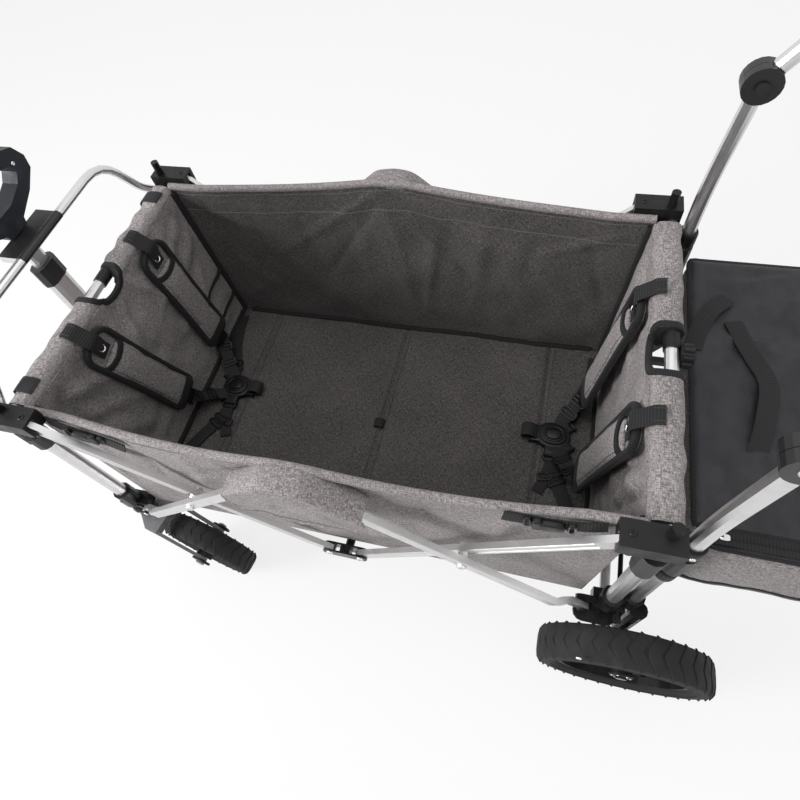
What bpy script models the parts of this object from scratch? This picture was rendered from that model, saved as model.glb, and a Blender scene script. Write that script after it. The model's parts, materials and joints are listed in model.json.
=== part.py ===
"""Folding wagon: two end frames joined by scissor side frames, with a fabric basket.

Metres, +Z up. The ground is Z = 0 and +X points to the push-bar end of the wagon.
Each piece is built where it stands and is then hung on the empty of the body that
carries it, which sits on that body's joint axis.
"""

from math import atan2, cos, pi, radians, sin, sqrt

import bmesh
import bpy
from mathutils import Matrix, Vector

# Clearances and facets
FIT_GAP = 0.0003
RUN_GAP = 0.0010
SLIDE_GAP = 0.0005
WELD = 0.000002
SIDES = 12
WHEEL_SIDES = 32
OVERLAP = 0.002

# Height of the basket's rim and place of the corner posts
RIM_Z = 0.600
POST_Y = 0.247
POST_OFFSET = 0.036

# Scissor side frames
ARM_RUN = 0.3665
ARM_RISE = 0.340
CENTRE_HALF = 0.0275
ARM_HEIGHT = 0.019
ARM_THICK = 0.009
V_ARM_Y = 0.256
M_ARM_Y = 0.273
M_FOOT_Y = 0.2605
M_BEND_START = 0.034
M_BEND_END = 0.062
PIN_RADIUS = 0.004
PIN_PLAY = 0.0006
BOLT_RADIUS = 0.0075
BOLT_HEAD = 0.003
PLATE_THICK = 0.003
PLATE_RADIUS = 0.0125
SPACER_HALF = 0.009

# Corner posts, the tubes that slide in them, and their collars and sockets
POST_RADIUS = 0.011
INNER_RADIUS = 0.009
INNER_LENGTH = 0.226
POST_FOOT_RISE = 0.040
POST_TOP_DROP = 0.052
COLLAR_WALL = 0.005
REAR_COLLAR_HEIGHT = 0.060
FRONT_COLLAR_HEIGHT = 0.031
SOCKET_HEIGHT = 0.046
SOCKET_DEPTH = 0.008
FOOT_INWARD = 0.022
FOOT_OUTWARD = 0.026
FOOT_SKIRT = 0.004
EAR_THICK = 0.0105
EAR_RADIUS = 0.012
CROSS_RADIUS = 0.008
CROSS_INSET = 0.003

# Top corner brackets with the canopy stubs
CAP_WALL = 0.004
CAP_REACH = 0.015
CAP_DROP = 0.012
CAP_INNER_Y = 0.2365
CAP_OUTER_Y = 0.2680
CHEEK_DROP = 0.022
CHEEK_REACH = 0.013
CHEEK_THICK = 0.002
STUB_RADIUS = 0.0065
STUB_HEIGHT = 0.024

# Top cross tubes and the knob on the rear one
TOP_TUBE_RADIUS = 0.009
TOP_TUBE_OUTSET = 0.006
TOP_TUBE_DROP = 0.012
KNOB_RADIUS = 0.013
KNOB_LENGTH = 0.016
KNOB_RIBS = 8
KNOB_RIB_RADIUS = 0.0035

# Fabric basket
BASKET_DEPTH = 0.336
FABRIC = 0.006
SIDE_INNER_Y = 0.2295
END_TOP_X = 0.410
END_FOOT_X = 0.390
FLOOR_THICK = 0.010
FLOOR_GROOVE = 0.004
FLOOR_END_FOLD = 0.296
HEM_WALL = 0.0055
HEM_INWARD = 0.012
CUTOUT_RADIUS = 0.048
CUTOUT_RISE = 0.006
SIDE_BULGE = 0.0175
BULGE_REACH = 0.350
RIM_PEAK = 0.020
RIM_SAG = 0.010
SLEEVE_LENGTH = 0.082
SLEEVE_SKIN = 0.0035
SLEEVE_DEPTH = 0.085
SLEEVE_ROOM = 0.003
SLEEVE_TAPER = 0.016

# Harness pads and buckles
PAD_Y = 0.100
PAD_WIDTH = 0.074
PAD_LENGTH = 0.262
PAD_THICK = 0.016
PAD_TOP_DROP = 0.022
PAD_CLEARANCE = 0.001
PAD_TURN = {(1, "near"): radians(7.0), (1, "far"): radians(3.0),
            (-1, "near"): radians(13.0), (-1, "far"): radians(-2.0)}
PAD_LEAN = {1: radians(5.0), -1: radians(1.0)}
PAD_EDGE_SHARE = 0.42
PAD_WAIST = 0.08
PAD_ROUNDED_OFF = 0.0018
BUCKLE_X = 0.320
BUCKLE_Y = 0.020
BUCKLE_WIDTH = 0.052
BUCKLE_LENGTH = 0.060
BUCKLE_THICK = 0.018
BUCKLE_BUTTON = 0.011
STRAP_WIDTH = 0.025
STRAP_THICK = 0.003

# Front casters
CASTER_TRAIL = 0.100
CASTER_YAW = {"near": radians(-11.0), "far": radians(9.0)}
FRONT_TYRE_RADIUS = 0.098
FRONT_TYRE_WIDTH = 0.044
FRONT_RIM_RADIUS = 0.074
FORK_GAP = 0.030
FORK_BLADE = 0.006
FORK_RADIUS = 0.010
CROWN_DROP = 0.0337
CROWN_THICK = 0.019
CROWN_LENGTH = 0.052
CROWN_RADIUS = 0.016
STEM_RADIUS = 0.006
STEM_LENGTH = 0.031
BALL_RADIUS = 0.018
FORK_AXLE_RADIUS = 0.005
NUT_RADIUS = 0.009
NUT_HEIGHT = 0.008

# Rear wheels, struts and brake
REAR_AXLE_X = 0.478
REAR_TYRE_Y = 0.309
REAR_TYRE_RADIUS = 0.138
REAR_TYRE_WIDTH = 0.056
REAR_RIM_RADIUS = 0.104
REAR_AXLE_RADIUS = 0.006
STRUT_X = 0.475
STRUT_Y = 0.250
STRUT_RADIUS = 0.014
RIM_WALL = 0.008
HUB_BORE_WALL = 0.012
HUB_SHARE = 0.85
SPOKES = 6
SPOKE_WIDTH = 0.014
SPOKE_THICK = 0.014
BRAKE_X = 0.449
BRAKE_RISE = 0.0163
BRAKE_RADIUS = 0.004
BRAKE_REACH_Y = 0.272
PEDAL_Y = 0.261
PEDAL_LENGTH = 0.066
PEDAL_WIDTH = 0.030
PEDAL_THICK = 0.008
PEDAL_DROP = 0.003

# Push bar at the rear
LEG_X = 0.463
LEG_Y = 0.238
LEG_RADIUS = 0.010
LEG_FOOT_DROP = 0.010
LEG_BEND_Z = 0.655
HUB_X = 0.474
HUB_Z = 0.805
HUB_RADIUS = 0.022
HUB_THICK = 0.012
BAR_LEAN = radians(35.0)
BAR_LENGTH = 0.270
BAR_CORNER = 0.060
GRIP_LENGTH = 0.300
GRIP_WALL = 0.006

# Storage bag behind the rear frame
BAG_LENGTH = 0.225
BAG_HALF_WIDTH = 0.232
BAG_TOP_Z = 0.535
BAG_DEPTH = 0.125
BAG_ROUNDING = 0.022
LOOP_RISE = 0.040
LOOP_HEIGHT = 0.025
LOOP_SKIN = 0.003
LOOP_INWARD = 0.030

# Front hoop with its clip
HOOP_RADIUS = 0.007
HOOP_WALL = 0.004
HOOP_SOCKET = 0.021
HOOP_BAR_X = 0.465
CLIP_DROP = 0.007
HOOP_CORNER_Y = 0.1715
HOOP_WAIST_Y = 0.223
HOOP_ROUNDING = 0.045
HOOP_STRAIGHT = 0.030
CLIP_WIDTH = 0.100
CLIP_HEIGHT = 0.011

# Pull handle
HANDLE_X = 0.510
PIVOT_RISE = 0.0023
HANDLE_PIN_RADIUS = 0.005
DRAW_WIDTH = 0.042
DRAW_THICK = 0.020
DRAW_TOP_Z = 0.635
DRAW_COLLAR_HEIGHT = 0.035
DRAW_COLLAR_WALL = 0.003
DRAW_STOP = 0.020
STEM_WIDTH = 0.030
STEM_THICK = 0.013
STEM_FOOT_RISE = 0.097
NECK_Z = 0.700
NECK_SOCKET = 0.012
LOOP_THICK = 0.028
LOOP_OUTLINE = ((0.018, 0.000), (0.022, 0.010), (0.060, 0.028), (0.086, 0.048), (0.090, 0.066),
                (0.080, 0.086), (0.050, 0.097), (0.018, 0.100))
LOOP_HOLE = ((0.018, 0.034), (0.050, 0.046), (0.062, 0.058), (0.058, 0.070), (0.038, 0.076),
             (0.014, 0.078))
LUG_THICK = 0.005
LUG_MARGIN = 0.012

# Places worked out from the sizes above
REAR = 1
FRONT = -1
SIDE_SIGN = {"near": -1, "far": 1}
PIN_LOW_Z = RIM_Z - ARM_RISE
PIN_HOLE = PIN_RADIUS + PIN_PLAY
ARM_HALF = ARM_HEIGHT / 2
CORNER_X = CENTRE_HALF + ARM_RUN
POST_X = CORNER_X + POST_OFFSET
CROSS_X = (CENTRE_HALF + CORNER_X) / 2
CROSS_Z = (RIM_Z + PIN_LOW_Z) / 2
COLLAR_RADIUS = POST_RADIUS + COLLAR_WALL
SLIDE_BORE = INNER_RADIUS + SLIDE_GAP
FLOOR_Z = RIM_Z - BASKET_DEPTH
FLOOR_FOOT_Z = FLOOR_Z - FLOOR_THICK
CROSS_TUBE_X = POST_X - CROSS_INSET
CROSS_TUBE_Z = FLOOR_FOOT_Z - FIT_GAP - CROSS_RADIUS
POST_TOP_Z = RIM_Z - POST_TOP_DROP
POST_FOOT_Z = max(CROSS_TUBE_Z, PIN_LOW_Z) + POST_FOOT_RISE
LEG_FOOT_Z = POST_FOOT_Z - LEG_FOOT_DROP
SOCKET_TOP_Z = POST_FOOT_Z + SOCKET_DEPTH
SOCKET_FOOT_Z = SOCKET_TOP_Z - SOCKET_HEIGHT
BLOCK_INNER_Y = POST_Y - BALL_RADIUS - OVERLAP / 2
BLOCK_FOOT_Z = min(CROSS_TUBE_Z - CROSS_RADIUS - FOOT_SKIRT, PIN_LOW_Z - EAR_RADIUS)
BRAKE_Z = BLOCK_FOOT_Z + BRAKE_RISE
HANDLE_PIVOT_Z = CROSS_TUBE_Z + PIVOT_RISE
STEM_FOOT_Z = HANDLE_PIVOT_Z + STEM_FOOT_RISE
CROWN_FOOT_Z = BLOCK_FOOT_Z - CROWN_DROP
TOP_TUBE_X = POST_X + TOP_TUBE_OUTSET
TOP_TUBE_Z = RIM_Z - TOP_TUBE_DROP
CAP_END_X = POST_X + COLLAR_RADIUS
SLOT_TOP_Z = RIM_Z + ARM_HALF + RUN_GAP
CAP_TOP_Z = SLOT_TOP_Z + CAP_WALL
SLEEVE_OUTER_Y = M_ARM_Y + ARM_THICK / 2 + RUN_GAP + PLATE_THICK + SLEEVE_ROOM + SLEEVE_SKIN
REAR_AXLE_Z = REAR_TYRE_RADIUS
FRONT_AXLE_Z = FRONT_TYRE_RADIUS
CROWN_TOP_Z = CROWN_FOOT_Z + CROWN_THICK
HOOP_X = CAP_END_X + SLIDE_GAP + HOOP_RADIUS
HOOP_FOOT_Z = POST_TOP_Z - HOOP_SOCKET
HOOP_BAR_Z = NECK_Z - CLIP_DROP
BAG_FRONT_X = LEG_X + LEG_RADIUS + FIT_GAP
REAR_REACH = BAG_FRONT_X + BAG_LENGTH
FRONT_REACH = HANDLE_X + LOOP_THICK / 2
CENTRE_SHIFT = (REAR_REACH - FRONT_REACH) / 2
UPRIGHT = Matrix.Rotation(pi / 2, 4, "X")
FACING_X = Matrix(((0, 0, 1, 0), (1, 0, 0, 0), (0, 1, 0, 0), (0, 0, 0, 1)))

FINISHES = {
    "aluminium": ((0.78, 0.78, 0.79), 0.32, 0.9),
    "black_plastic": ((0.03, 0.03, 0.033), 0.5, 0.0),
    "grey_metal": ((0.27, 0.28, 0.30), 0.45, 0.4),
    "grey_fabric": ((0.33, 0.32, 0.32), 0.9, 0.0),
    "black_fabric": ((0.035, 0.034, 0.040), 0.8, 0.0),
    "tyre": ((0.05, 0.05, 0.052), 0.8, 0.0),
    "foam": ((0.04, 0.04, 0.042), 0.9, 0.0),
}

# Each body's parent and the point on its joint axis
BODIES = {
    "rear_frame": (None, (0.0, 0.0, 0.0)),
    "rear_top": ("rear_frame", (CORNER_X, 0.0, RIM_Z)),
    "front_frame": ("rear_frame", (-CORNER_X, 0.0, PIN_LOW_Z)),
    "front_top": ("front_frame", (-CORNER_X, 0.0, RIM_Z)),
    "centre_bottom": ("rear_frame", (CENTRE_HALF, 0.0, PIN_LOW_Z)),
    "knob": ("rear_top", (TOP_TUBE_X, 0.0, TOP_TUBE_Z)),
    "push_bar": ("rear_frame", (HUB_X, 0.0, HUB_Z)),
    "brake_bar": ("rear_frame", (BRAKE_X, 0.0, BRAKE_Z)),
    "pull_handle": ("front_frame", (-HANDLE_X, 0.0, HANDLE_PIVOT_Z)),
    "handle_stem": ("pull_handle", (-HANDLE_X, 0.0, STEM_FOOT_Z)),
}
for _side, _sign in SIDE_SIGN.items():
    BODIES[f"m_arm_rear_{_side}"] = ("rear_frame", (CORNER_X, _sign * M_FOOT_Y, PIN_LOW_Z))
    BODIES[f"v_arm_rear_{_side}"] = (f"m_arm_rear_{_side}", (CROSS_X, _sign * V_ARM_Y, CROSS_Z))
    BODIES[f"top_joint_{_side}"] = (f"m_arm_rear_{_side}", (CENTRE_HALF, _sign * M_ARM_Y, RIM_Z))
    BODIES[f"rear_wheel_{_side}"] = ("rear_frame", (REAR_AXLE_X, _sign * REAR_TYRE_Y, REAR_AXLE_Z))
    BODIES[f"caster_{_side}"] = ("front_frame", (-POST_X, _sign * POST_Y, CROWN_TOP_Z))
    BODIES[f"front_wheel_{_side}"] = (
        f"caster_{_side}", (-POST_X + CASTER_TRAIL, _sign * POST_Y, FRONT_AXLE_Z))
BODIES["v_arm_front_near"] = ("centre_bottom", (-CENTRE_HALF, -V_ARM_Y, PIN_LOW_Z))
BODIES["m_arm_front_near"] = ("v_arm_front_near", (-CROSS_X, -V_ARM_Y, CROSS_Z))
BODIES["m_arm_front_far"] = ("top_joint_far", (-CENTRE_HALF, M_ARM_Y, RIM_Z))
BODIES["v_arm_front_far"] = ("m_arm_front_far", (-CROSS_X, V_ARM_Y, CROSS_Z))


def clear_scene():
    """Remove the objects of the opening scene."""
    for obj in list(bpy.data.objects):
        bpy.data.objects.remove(obj, do_unlink=True)


def new_collection(name):
    group = bpy.data.collections.new(name)
    bpy.context.scene.collection.children.link(group)
    return group


clear_scene()
PARTS = new_collection("folding_wagon")


def add_object(name, data):
    obj = bpy.data.objects.new(name, data)
    PARTS.objects.link(obj)
    return obj


def from_bmesh(name, mesh_in_edit):
    bmesh.ops.recalc_face_normals(mesh_in_edit, faces=mesh_in_edit.faces)
    mesh = bpy.data.meshes.new(name)
    mesh_in_edit.to_mesh(mesh)
    mesh_in_edit.free()
    return add_object(name, mesh)


def bake(obj, name=None):
    """Turn an object, with its modifiers, into a welded mesh object in world space."""
    bpy.context.view_layer.update()
    graph = bpy.context.evaluated_depsgraph_get()
    mesh = bpy.data.meshes.new_from_object(obj.evaluated_get(graph))
    mesh.transform(obj.matrix_world)
    mesh_in_edit = bmesh.new()
    mesh_in_edit.from_mesh(mesh)
    bmesh.ops.remove_doubles(mesh_in_edit, verts=mesh_in_edit.verts, dist=WELD)
    old_name = obj.name
    bpy.data.objects.remove(obj, do_unlink=True)
    return from_bmesh(name or old_name, mesh_in_edit)


def combine(name, first, add=(), cut=()):
    """Join the pieces of add to first, take the pieces of cut away, and name the result."""
    for operation, pieces in (("UNION", add), ("DIFFERENCE", cut)):
        for piece in pieces:
            modifier = first.modifiers.new(piece.name, "BOOLEAN")
            modifier.operation = operation
            modifier.object = piece
            modifier.solver = "EXACT"
    result = bake(first, name)
    for piece in (*add, *cut):
        bpy.data.objects.remove(piece, do_unlink=True)
    return result


def block(low, high):
    """Box between two opposite corners, given in any order."""
    low, high = Vector(low), Vector(high)
    size = [abs(b - a) for a, b in zip(low, high)]
    mesh_in_edit = bmesh.new()
    bmesh.ops.create_cube(mesh_in_edit, size=1.0)
    matrix = Matrix.Translation((low + high) / 2) @ Matrix.Diagonal((*size, 1.0))
    bmesh.ops.transform(mesh_in_edit, matrix=matrix, verts=mesh_in_edit.verts)
    return from_bmesh("block", mesh_in_edit)


def rod(start, end, radius, sides=SIDES, turn=0.0):
    """Closed cylinder between two points."""
    start, end = Vector(start), Vector(end)
    along = end - start
    aim = Vector((0, 0, 1)).rotation_difference(along).to_matrix().to_4x4()
    matrix = Matrix.Translation((start + end) / 2) @ aim @ Matrix.Rotation(turn, 4, "Z")
    mesh_in_edit = bmesh.new()
    bmesh.ops.create_cone(mesh_in_edit, cap_ends=True, segments=sides, radius1=radius,
                          radius2=radius, depth=along.length, matrix=matrix)
    return from_bmesh("rod", mesh_in_edit)


def rod_y(x, z, y_start, y_end, radius, sides=SIDES):
    return rod((x, y_start, z), (x, y_end, z), radius, sides)


def rod_z(x, y, z_start, z_end, radius, sides=SIDES):
    return rod((x, y, z_start), (x, y, z_end), radius, sides)


def ball(centre, radius, sides=SIDES):
    mesh_in_edit = bmesh.new()
    bmesh.ops.create_uvsphere(mesh_in_edit, u_segments=sides, v_segments=sides // 2,
                              radius=radius, matrix=Matrix.Translation(centre))
    return from_bmesh("ball", mesh_in_edit)


def turned(profile, matrix, sides=SIDES):
    """Ring turned from a closed profile of (radius, height) points about its own Z axis."""
    mesh = bpy.data.meshes.new("profile")
    points = [(radius, 0.0, height) for radius, height in profile]
    edges = [(i, (i + 1) % len(points)) for i in range(len(points))]
    mesh.from_pydata(points, edges, [])
    obj = add_object("turned", mesh)
    obj.matrix_world = matrix
    screw = obj.modifiers.new("turn", "SCREW")
    screw.angle = 2 * pi
    screw.steps = sides
    screw.render_steps = sides
    screw.use_merge_vertices = True
    screw.merge_threshold = 0.00001
    return bake(obj)


def spline_object(name, rings, dimensions, cyclic):
    curve = bpy.data.curves.new(name, "CURVE")
    curve.dimensions = dimensions
    for ring in rings:
        spline = curve.splines.new("POLY")
        spline.points.add(len(ring) - 1)
        for point, place in zip(spline.points, ring):
            point.co = (*place, 0.0, 1.0)[:4] if len(place) == 2 else (*place, 1.0)
        spline.use_cyclic_u = cyclic
    return add_object(name, curve)


def tube(points, radius, resolution=4):
    """Round bar along a path, closed at both ends."""
    obj = spline_object("tube", [points], "3D", False)
    obj.data.bevel_depth = radius
    obj.data.bevel_resolution = resolution
    obj.data.use_fill_caps = True
    return bake(obj)


def plate(outline, thickness, matrix, holes=()):
    """Flat outline with holes, extruded evenly about its own plane."""
    obj = spline_object("plate", [outline, *holes], "2D", True)
    obj.data.fill_mode = "BOTH"
    obj.data.extrude = thickness / 2
    obj.matrix_world = matrix
    return bake(obj)


def upright_plate(outline, y_a, y_b, holes=()):
    """Plate whose outline is given in X and Z, standing between two Y values."""
    matrix = Matrix.Translation((0, (y_a + y_b) / 2, 0)) @ UPRIGHT
    return plate(outline, abs(y_b - y_a), matrix, holes)


def flat_plate(outline, z_a, z_b, holes=()):
    """Plate whose outline is given in X and Y, lying between two Z values."""
    return plate(outline, abs(z_b - z_a), Matrix.Translation((0, 0, (z_a + z_b) / 2)), holes)


def circle(centre, radius, count=12):
    turn = pi / count
    return [(centre[0] + radius * cos(turn + 2 * pi * i / count),
             centre[1] + radius * sin(turn + 2 * pi * i / count)) for i in range(count)]


def stadium(start, end, radius, arc_steps=6):
    """Outline of a bar with half-round ends about two points."""
    angle = atan2(end[1] - start[1], end[0] - start[0])
    outline = []
    for centre, first in ((end, angle - pi / 2), (start, angle + pi / 2)):
        for i in range(arc_steps + 1):
            place = first + pi * i / arc_steps
            outline.append((centre[0] + radius * cos(place), centre[1] + radius * sin(place)))
    return outline


def oval(x, width, thick):
    """Flat-sided oval about (x, 0), wide along Y."""
    reach = (width - thick) / 2
    return stadium((x, -reach), (x, reach), thick / 2, 4)


def filleted(corners, radius, steps=5):
    """Path through corners with each inner corner rounded."""
    corners = [Vector(corner) for corner in corners]
    path = [corners[0]]
    for before, corner, after in zip(corners, corners[1:], corners[2:]):
        into, out = (corner - before).normalized(), (after - corner).normalized()
        room = min((corner - before).length, (after - corner).length) / 2
        setback = min(radius, room)
        first, last = corner - into * setback, corner + out * setback
        for i in range(steps + 1):
            share = i / steps
            path.append((1 - share) ** 2 * first + 2 * share * (1 - share) * corner
                        + share ** 2 * last)
    path.append(corners[-1])
    return [tuple(point) for point in path]


def strap(points, width, thickness, directions):
    """Flat webbing along a path, with the direction of its width at each point."""
    points = [Vector(point) for point in points]
    mesh_in_edit = bmesh.new()
    rings = []
    for i, (point, across) in enumerate(zip(points, directions)):
        along = points[min(i + 1, len(points) - 1)] - points[max(i - 1, 0)]
        up = along.cross(across).normalized()
        corners = [(-1, -1), (1, -1), (1, 1), (-1, 1)]
        rings.append([mesh_in_edit.verts.new(point + across * a * width / 2 + up * b * thickness / 2)
                      for a, b in corners])
    for ring, following in zip(rings, rings[1:]):
        for i in range(4):
            mesh_in_edit.faces.new((ring[i], ring[(i + 1) % 4], following[(i + 1) % 4], following[i]))
    mesh_in_edit.faces.new(rings[0])
    mesh_in_edit.faces.new(rings[-1])
    return from_bmesh("strap", mesh_in_edit)


def rim_height(x):
    """Height of the side wall's top edge: pulled up at the top joint, sagging beside it."""
    share = abs(x) / END_TOP_X
    beyond = max(0.0, abs(x) - CENTRE_HALF) / (END_TOP_X - CENTRE_HALF)
    return RIM_Z + RIM_PEAK * (1 - beyond) ** 3 - RIM_SAG * sin(pi * share)


def bulge(x, z):
    """How far a side wall stands out of its plane."""
    share = abs(x) / BULGE_REACH
    return SIDE_BULGE * max(0.0, 1 - share ** 2) * (z - FLOOR_Z) / BASKET_DEPTH


def end_wall_x(z):
    """Inner face of an end wall at a height, as a distance from the wagon's middle."""
    return END_FOOT_X + (END_TOP_X - END_FOOT_X) * (z - FLOOR_Z) / BASKET_DEPTH


EMPTIES = {}


def make_bodies():
    """One empty for each body, on its joint axis, hung on the empty of its parent."""
    origin = add_object("wagon_origin", None)
    origin.location = (-CENTRE_SHIFT, 0.0, 0.0)
    waiting = dict(BODIES)
    while waiting:
        for name, (parent, place) in list(waiting.items()):
            if parent is not None and parent not in EMPTIES:
                continue
            empty = add_object(f"{name}_pivot", None)
            parent_place = Vector(BODIES[parent][1]) if parent else Vector((0.0, 0.0, 0.0))
            empty.parent = EMPTIES[parent] if parent else origin
            empty.location = Vector(place) - parent_place
            EMPTIES[name] = empty
            del waiting[name]
    for side, yaw in CASTER_YAW.items():
        EMPTIES[f"caster_{side}"].rotation_euler = (0.0, 0.0, yaw)


def hang(obj, name, body, finish):
    """Name a finished piece, give it its finish, and hang it on its body's empty."""
    obj.name = name
    obj.data.name = name
    obj.data.transform(Matrix.Translation(-Vector(BODIES[body][1])))
    obj.parent = EMPTIES[body]
    color, roughness, metallic = FINISHES[finish]
    material = bpy.data.materials.new(f"{name}_{finish}")
    material.use_nodes = True
    material.diffuse_color = (*color, 1.0)
    shader = material.node_tree.nodes["Principled BSDF"]
    shader.inputs["Base Color"].default_value = (*color, 1.0)
    shader.inputs["Roughness"].default_value = roughness
    shader.inputs["Metallic"].default_value = metallic
    obj.data.materials.append(material)
    obj.data.shade_smooth()
    obj.data.set_sharp_from_angle(angle=radians(35.0))


def corner_post(side, end):
    """Outer corner tube with its top collar, and the collar's lobe for the tube beside it."""
    y = SIDE_SIGN[side] * POST_Y
    x = end * POST_X
    collar_height = REAR_COLLAR_HEIGHT if end == REAR else FRONT_COLLAR_HEIGHT
    collar_foot = POST_TOP_Z - collar_height
    profile = [(SLIDE_BORE, POST_FOOT_Z), (POST_RADIUS, POST_FOOT_Z), (POST_RADIUS, collar_foot),
               (COLLAR_RADIUS, collar_foot), (COLLAR_RADIUS, POST_TOP_Z), (SLIDE_BORE, POST_TOP_Z)]
    post = turned(profile, Matrix.Translation((x, y, 0)))
    bore = rod_z(x, y, POST_FOOT_Z - OVERLAP, POST_TOP_Z + OVERLAP, SLIDE_BORE)
    if end == REAR:
        leg_y = SIDE_SIGN[side] * LEG_Y
        lobe = rod_z(LEG_X, leg_y, collar_foot, POST_TOP_Z, LEG_RADIUS + COLLAR_WALL)
        web = block((x + SLIDE_BORE, leg_y - LEG_RADIUS, collar_foot + OVERLAP),
                    (LEG_X, leg_y + LEG_RADIUS, POST_TOP_Z - OVERLAP))
        leg_bore = rod_z(LEG_X, leg_y, collar_foot - OVERLAP, POST_TOP_Z + OVERLAP,
                         LEG_RADIUS + FIT_GAP)
        post = combine("post", post, add=[lobe, web], cut=[leg_bore, bore])
    else:
        lobe = rod_z(-HOOP_X, y, collar_foot, POST_TOP_Z, HOOP_RADIUS + HOOP_WALL)
        socket = rod_z(-HOOP_X, y, HOOP_FOOT_Z - FIT_GAP, POST_TOP_Z + OVERLAP,
                       HOOP_RADIUS + FIT_GAP)
        post = combine("post", post, add=[lobe], cut=[socket, bore])
    name = f"{'rear' if end == REAR else 'front'}_post_{side}"
    hang(post, name, "rear_frame" if end == REAR else "front_frame", "aluminium")


def socket_parts(side, end):
    """Shapes that both lower sockets share: collar, foot block, ear and the arm's pin."""
    sign = SIDE_SIGN[side]
    x = end * POST_X
    y = sign * POST_Y
    ear_face = M_FOOT_Y - ARM_THICK / 2 - RUN_GAP
    head_start = M_FOOT_Y + ARM_THICK / 2 + RUN_GAP
    collar = rod_z(x, y, SOCKET_FOOT_Z, SOCKET_TOP_Z, COLLAR_RADIUS)
    foot = block((end * (POST_X - FOOT_INWARD), sign * BLOCK_INNER_Y, BLOCK_FOOT_Z),
                 (end * (POST_X + FOOT_OUTWARD), sign * (POST_Y + POST_RADIUS), SOCKET_FOOT_Z + OVERLAP))
    ear_outline = stadium((end * CORNER_X, PIN_LOW_Z), (end * POST_X, PIN_LOW_Z), EAR_RADIUS)
    ear = upright_plate(ear_outline, sign * (ear_face - EAR_THICK), sign * ear_face)
    pin = rod_y(end * CORNER_X, PIN_LOW_Z, sign * (ear_face - OVERLAP),
                sign * (head_start + OVERLAP), PIN_RADIUS)
    head = rod_y(end * CORNER_X, PIN_LOW_Z, sign * head_start,
                 sign * (head_start + BOLT_HEAD), BOLT_RADIUS)
    post_socket = rod_z(x, y, POST_FOOT_Z - FIT_GAP, SOCKET_TOP_Z + OVERLAP,
                        POST_RADIUS + FIT_GAP)
    return collar, [foot, ear, pin, head], [post_socket]


def rear_socket(side):
    """Rear lower fitting: post and push-leg sockets, the wheel's strut and its axle."""
    sign = SIDE_SIGN[side]
    collar, added, cuts = socket_parts(side, REAR)
    leg_y = sign * LEG_Y
    lobe_top = LEG_FOOT_Z + SOCKET_DEPTH
    added.append(rod_z(LEG_X, leg_y, SOCKET_FOOT_Z, lobe_top, LEG_RADIUS + COLLAR_WALL))
    added.append(block((POST_X, leg_y - LEG_RADIUS, SOCKET_FOOT_Z + OVERLAP),
                       (LEG_X, leg_y + LEG_RADIUS, lobe_top - OVERLAP)))
    strut_y = sign * STRUT_Y
    added.append(rod_z(STRUT_X, strut_y, REAR_AXLE_Z - STRUT_RADIUS - OVERLAP,
                       SOCKET_FOOT_Z + 2 * OVERLAP, STRUT_RADIUS))
    hub_end = REAR_TYRE_Y + HUB_SHARE * REAR_TYRE_WIDTH / 2
    nut_end = hub_end + RUN_GAP + BOLT_HEAD
    added.append(rod_y(REAR_AXLE_X, REAR_AXLE_Z, strut_y, sign * (nut_end - OVERLAP / 2),
                       REAR_AXLE_RADIUS))
    added.append(rod_y(REAR_AXLE_X, REAR_AXLE_Z, sign * (hub_end + RUN_GAP), sign * nut_end,
                       NUT_RADIUS))
    cuts.append(rod_z(LEG_X, leg_y, LEG_FOOT_Z - FIT_GAP, SOCKET_TOP_Z + OVERLAP,
                      LEG_RADIUS + FIT_GAP))
    cuts.append(rod_y(BRAKE_X, BRAKE_Z, sign * (POST_Y - 2 * BALL_RADIUS),
                      sign * (POST_Y + 2 * BALL_RADIUS), BRAKE_RADIUS + SLIDE_GAP))
    fitting = combine("socket", collar, added, cuts)
    hang(fitting, f"rear_socket_{side}", "rear_frame", "black_plastic")


def front_socket(side):
    """Front lower fitting: post socket, the arm's ear and the ball that holds the caster."""
    sign = SIDE_SIGN[side]
    x, y = -POST_X, sign * POST_Y
    collar, added, cuts = socket_parts(side, FRONT)
    ball_z = CROWN_TOP_Z + SLIDE_GAP + BALL_RADIUS - OVERLAP
    added.append(ball((x, y, ball_z), BALL_RADIUS))
    cuts.append(rod_z(x, y, CROWN_TOP_Z - BALL_RADIUS, CROWN_TOP_Z + SLIDE_GAP, 2 * BALL_RADIUS))
    cuts.append(rod_z(x, y, CROWN_TOP_Z - BALL_RADIUS, CROWN_TOP_Z + STEM_LENGTH + SLIDE_GAP,
                      STEM_RADIUS + SLIDE_GAP))
    fitting = combine("socket", collar, added, cuts)
    hang(fitting, f"front_socket_{side}", "front_frame", "black_plastic")


def cross_tube(end):
    """Lower cross tube of an end frame. The front one carries the pull handle's lugs."""
    reach = BLOCK_INNER_Y - FIT_GAP
    bar = rod_y(end * CROSS_TUBE_X, CROSS_TUBE_Z, -reach, reach, CROSS_RADIUS)
    if end == REAR:
        hang(bar, "rear_cross_tube", "rear_frame", "aluminium")
        return
    lug_inner = DRAW_WIDTH / 2 + RUN_GAP
    lug_outer = lug_inner + LUG_THICK
    added = []
    for sign in SIDE_SIGN.values():
        outline = stadium((-HANDLE_X, HANDLE_PIVOT_Z), (-CROSS_TUBE_X, CROSS_TUBE_Z), LUG_MARGIN)
        added.append(upright_plate(outline, sign * lug_inner, sign * lug_outer))
    added.append(rod_y(-HANDLE_X, HANDLE_PIVOT_Z, -lug_outer + OVERLAP, lug_outer - OVERLAP,
                       HANDLE_PIN_RADIUS))
    hang(combine("tube", bar, added), "front_cross_tube", "front_frame", "aluminium")


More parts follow.
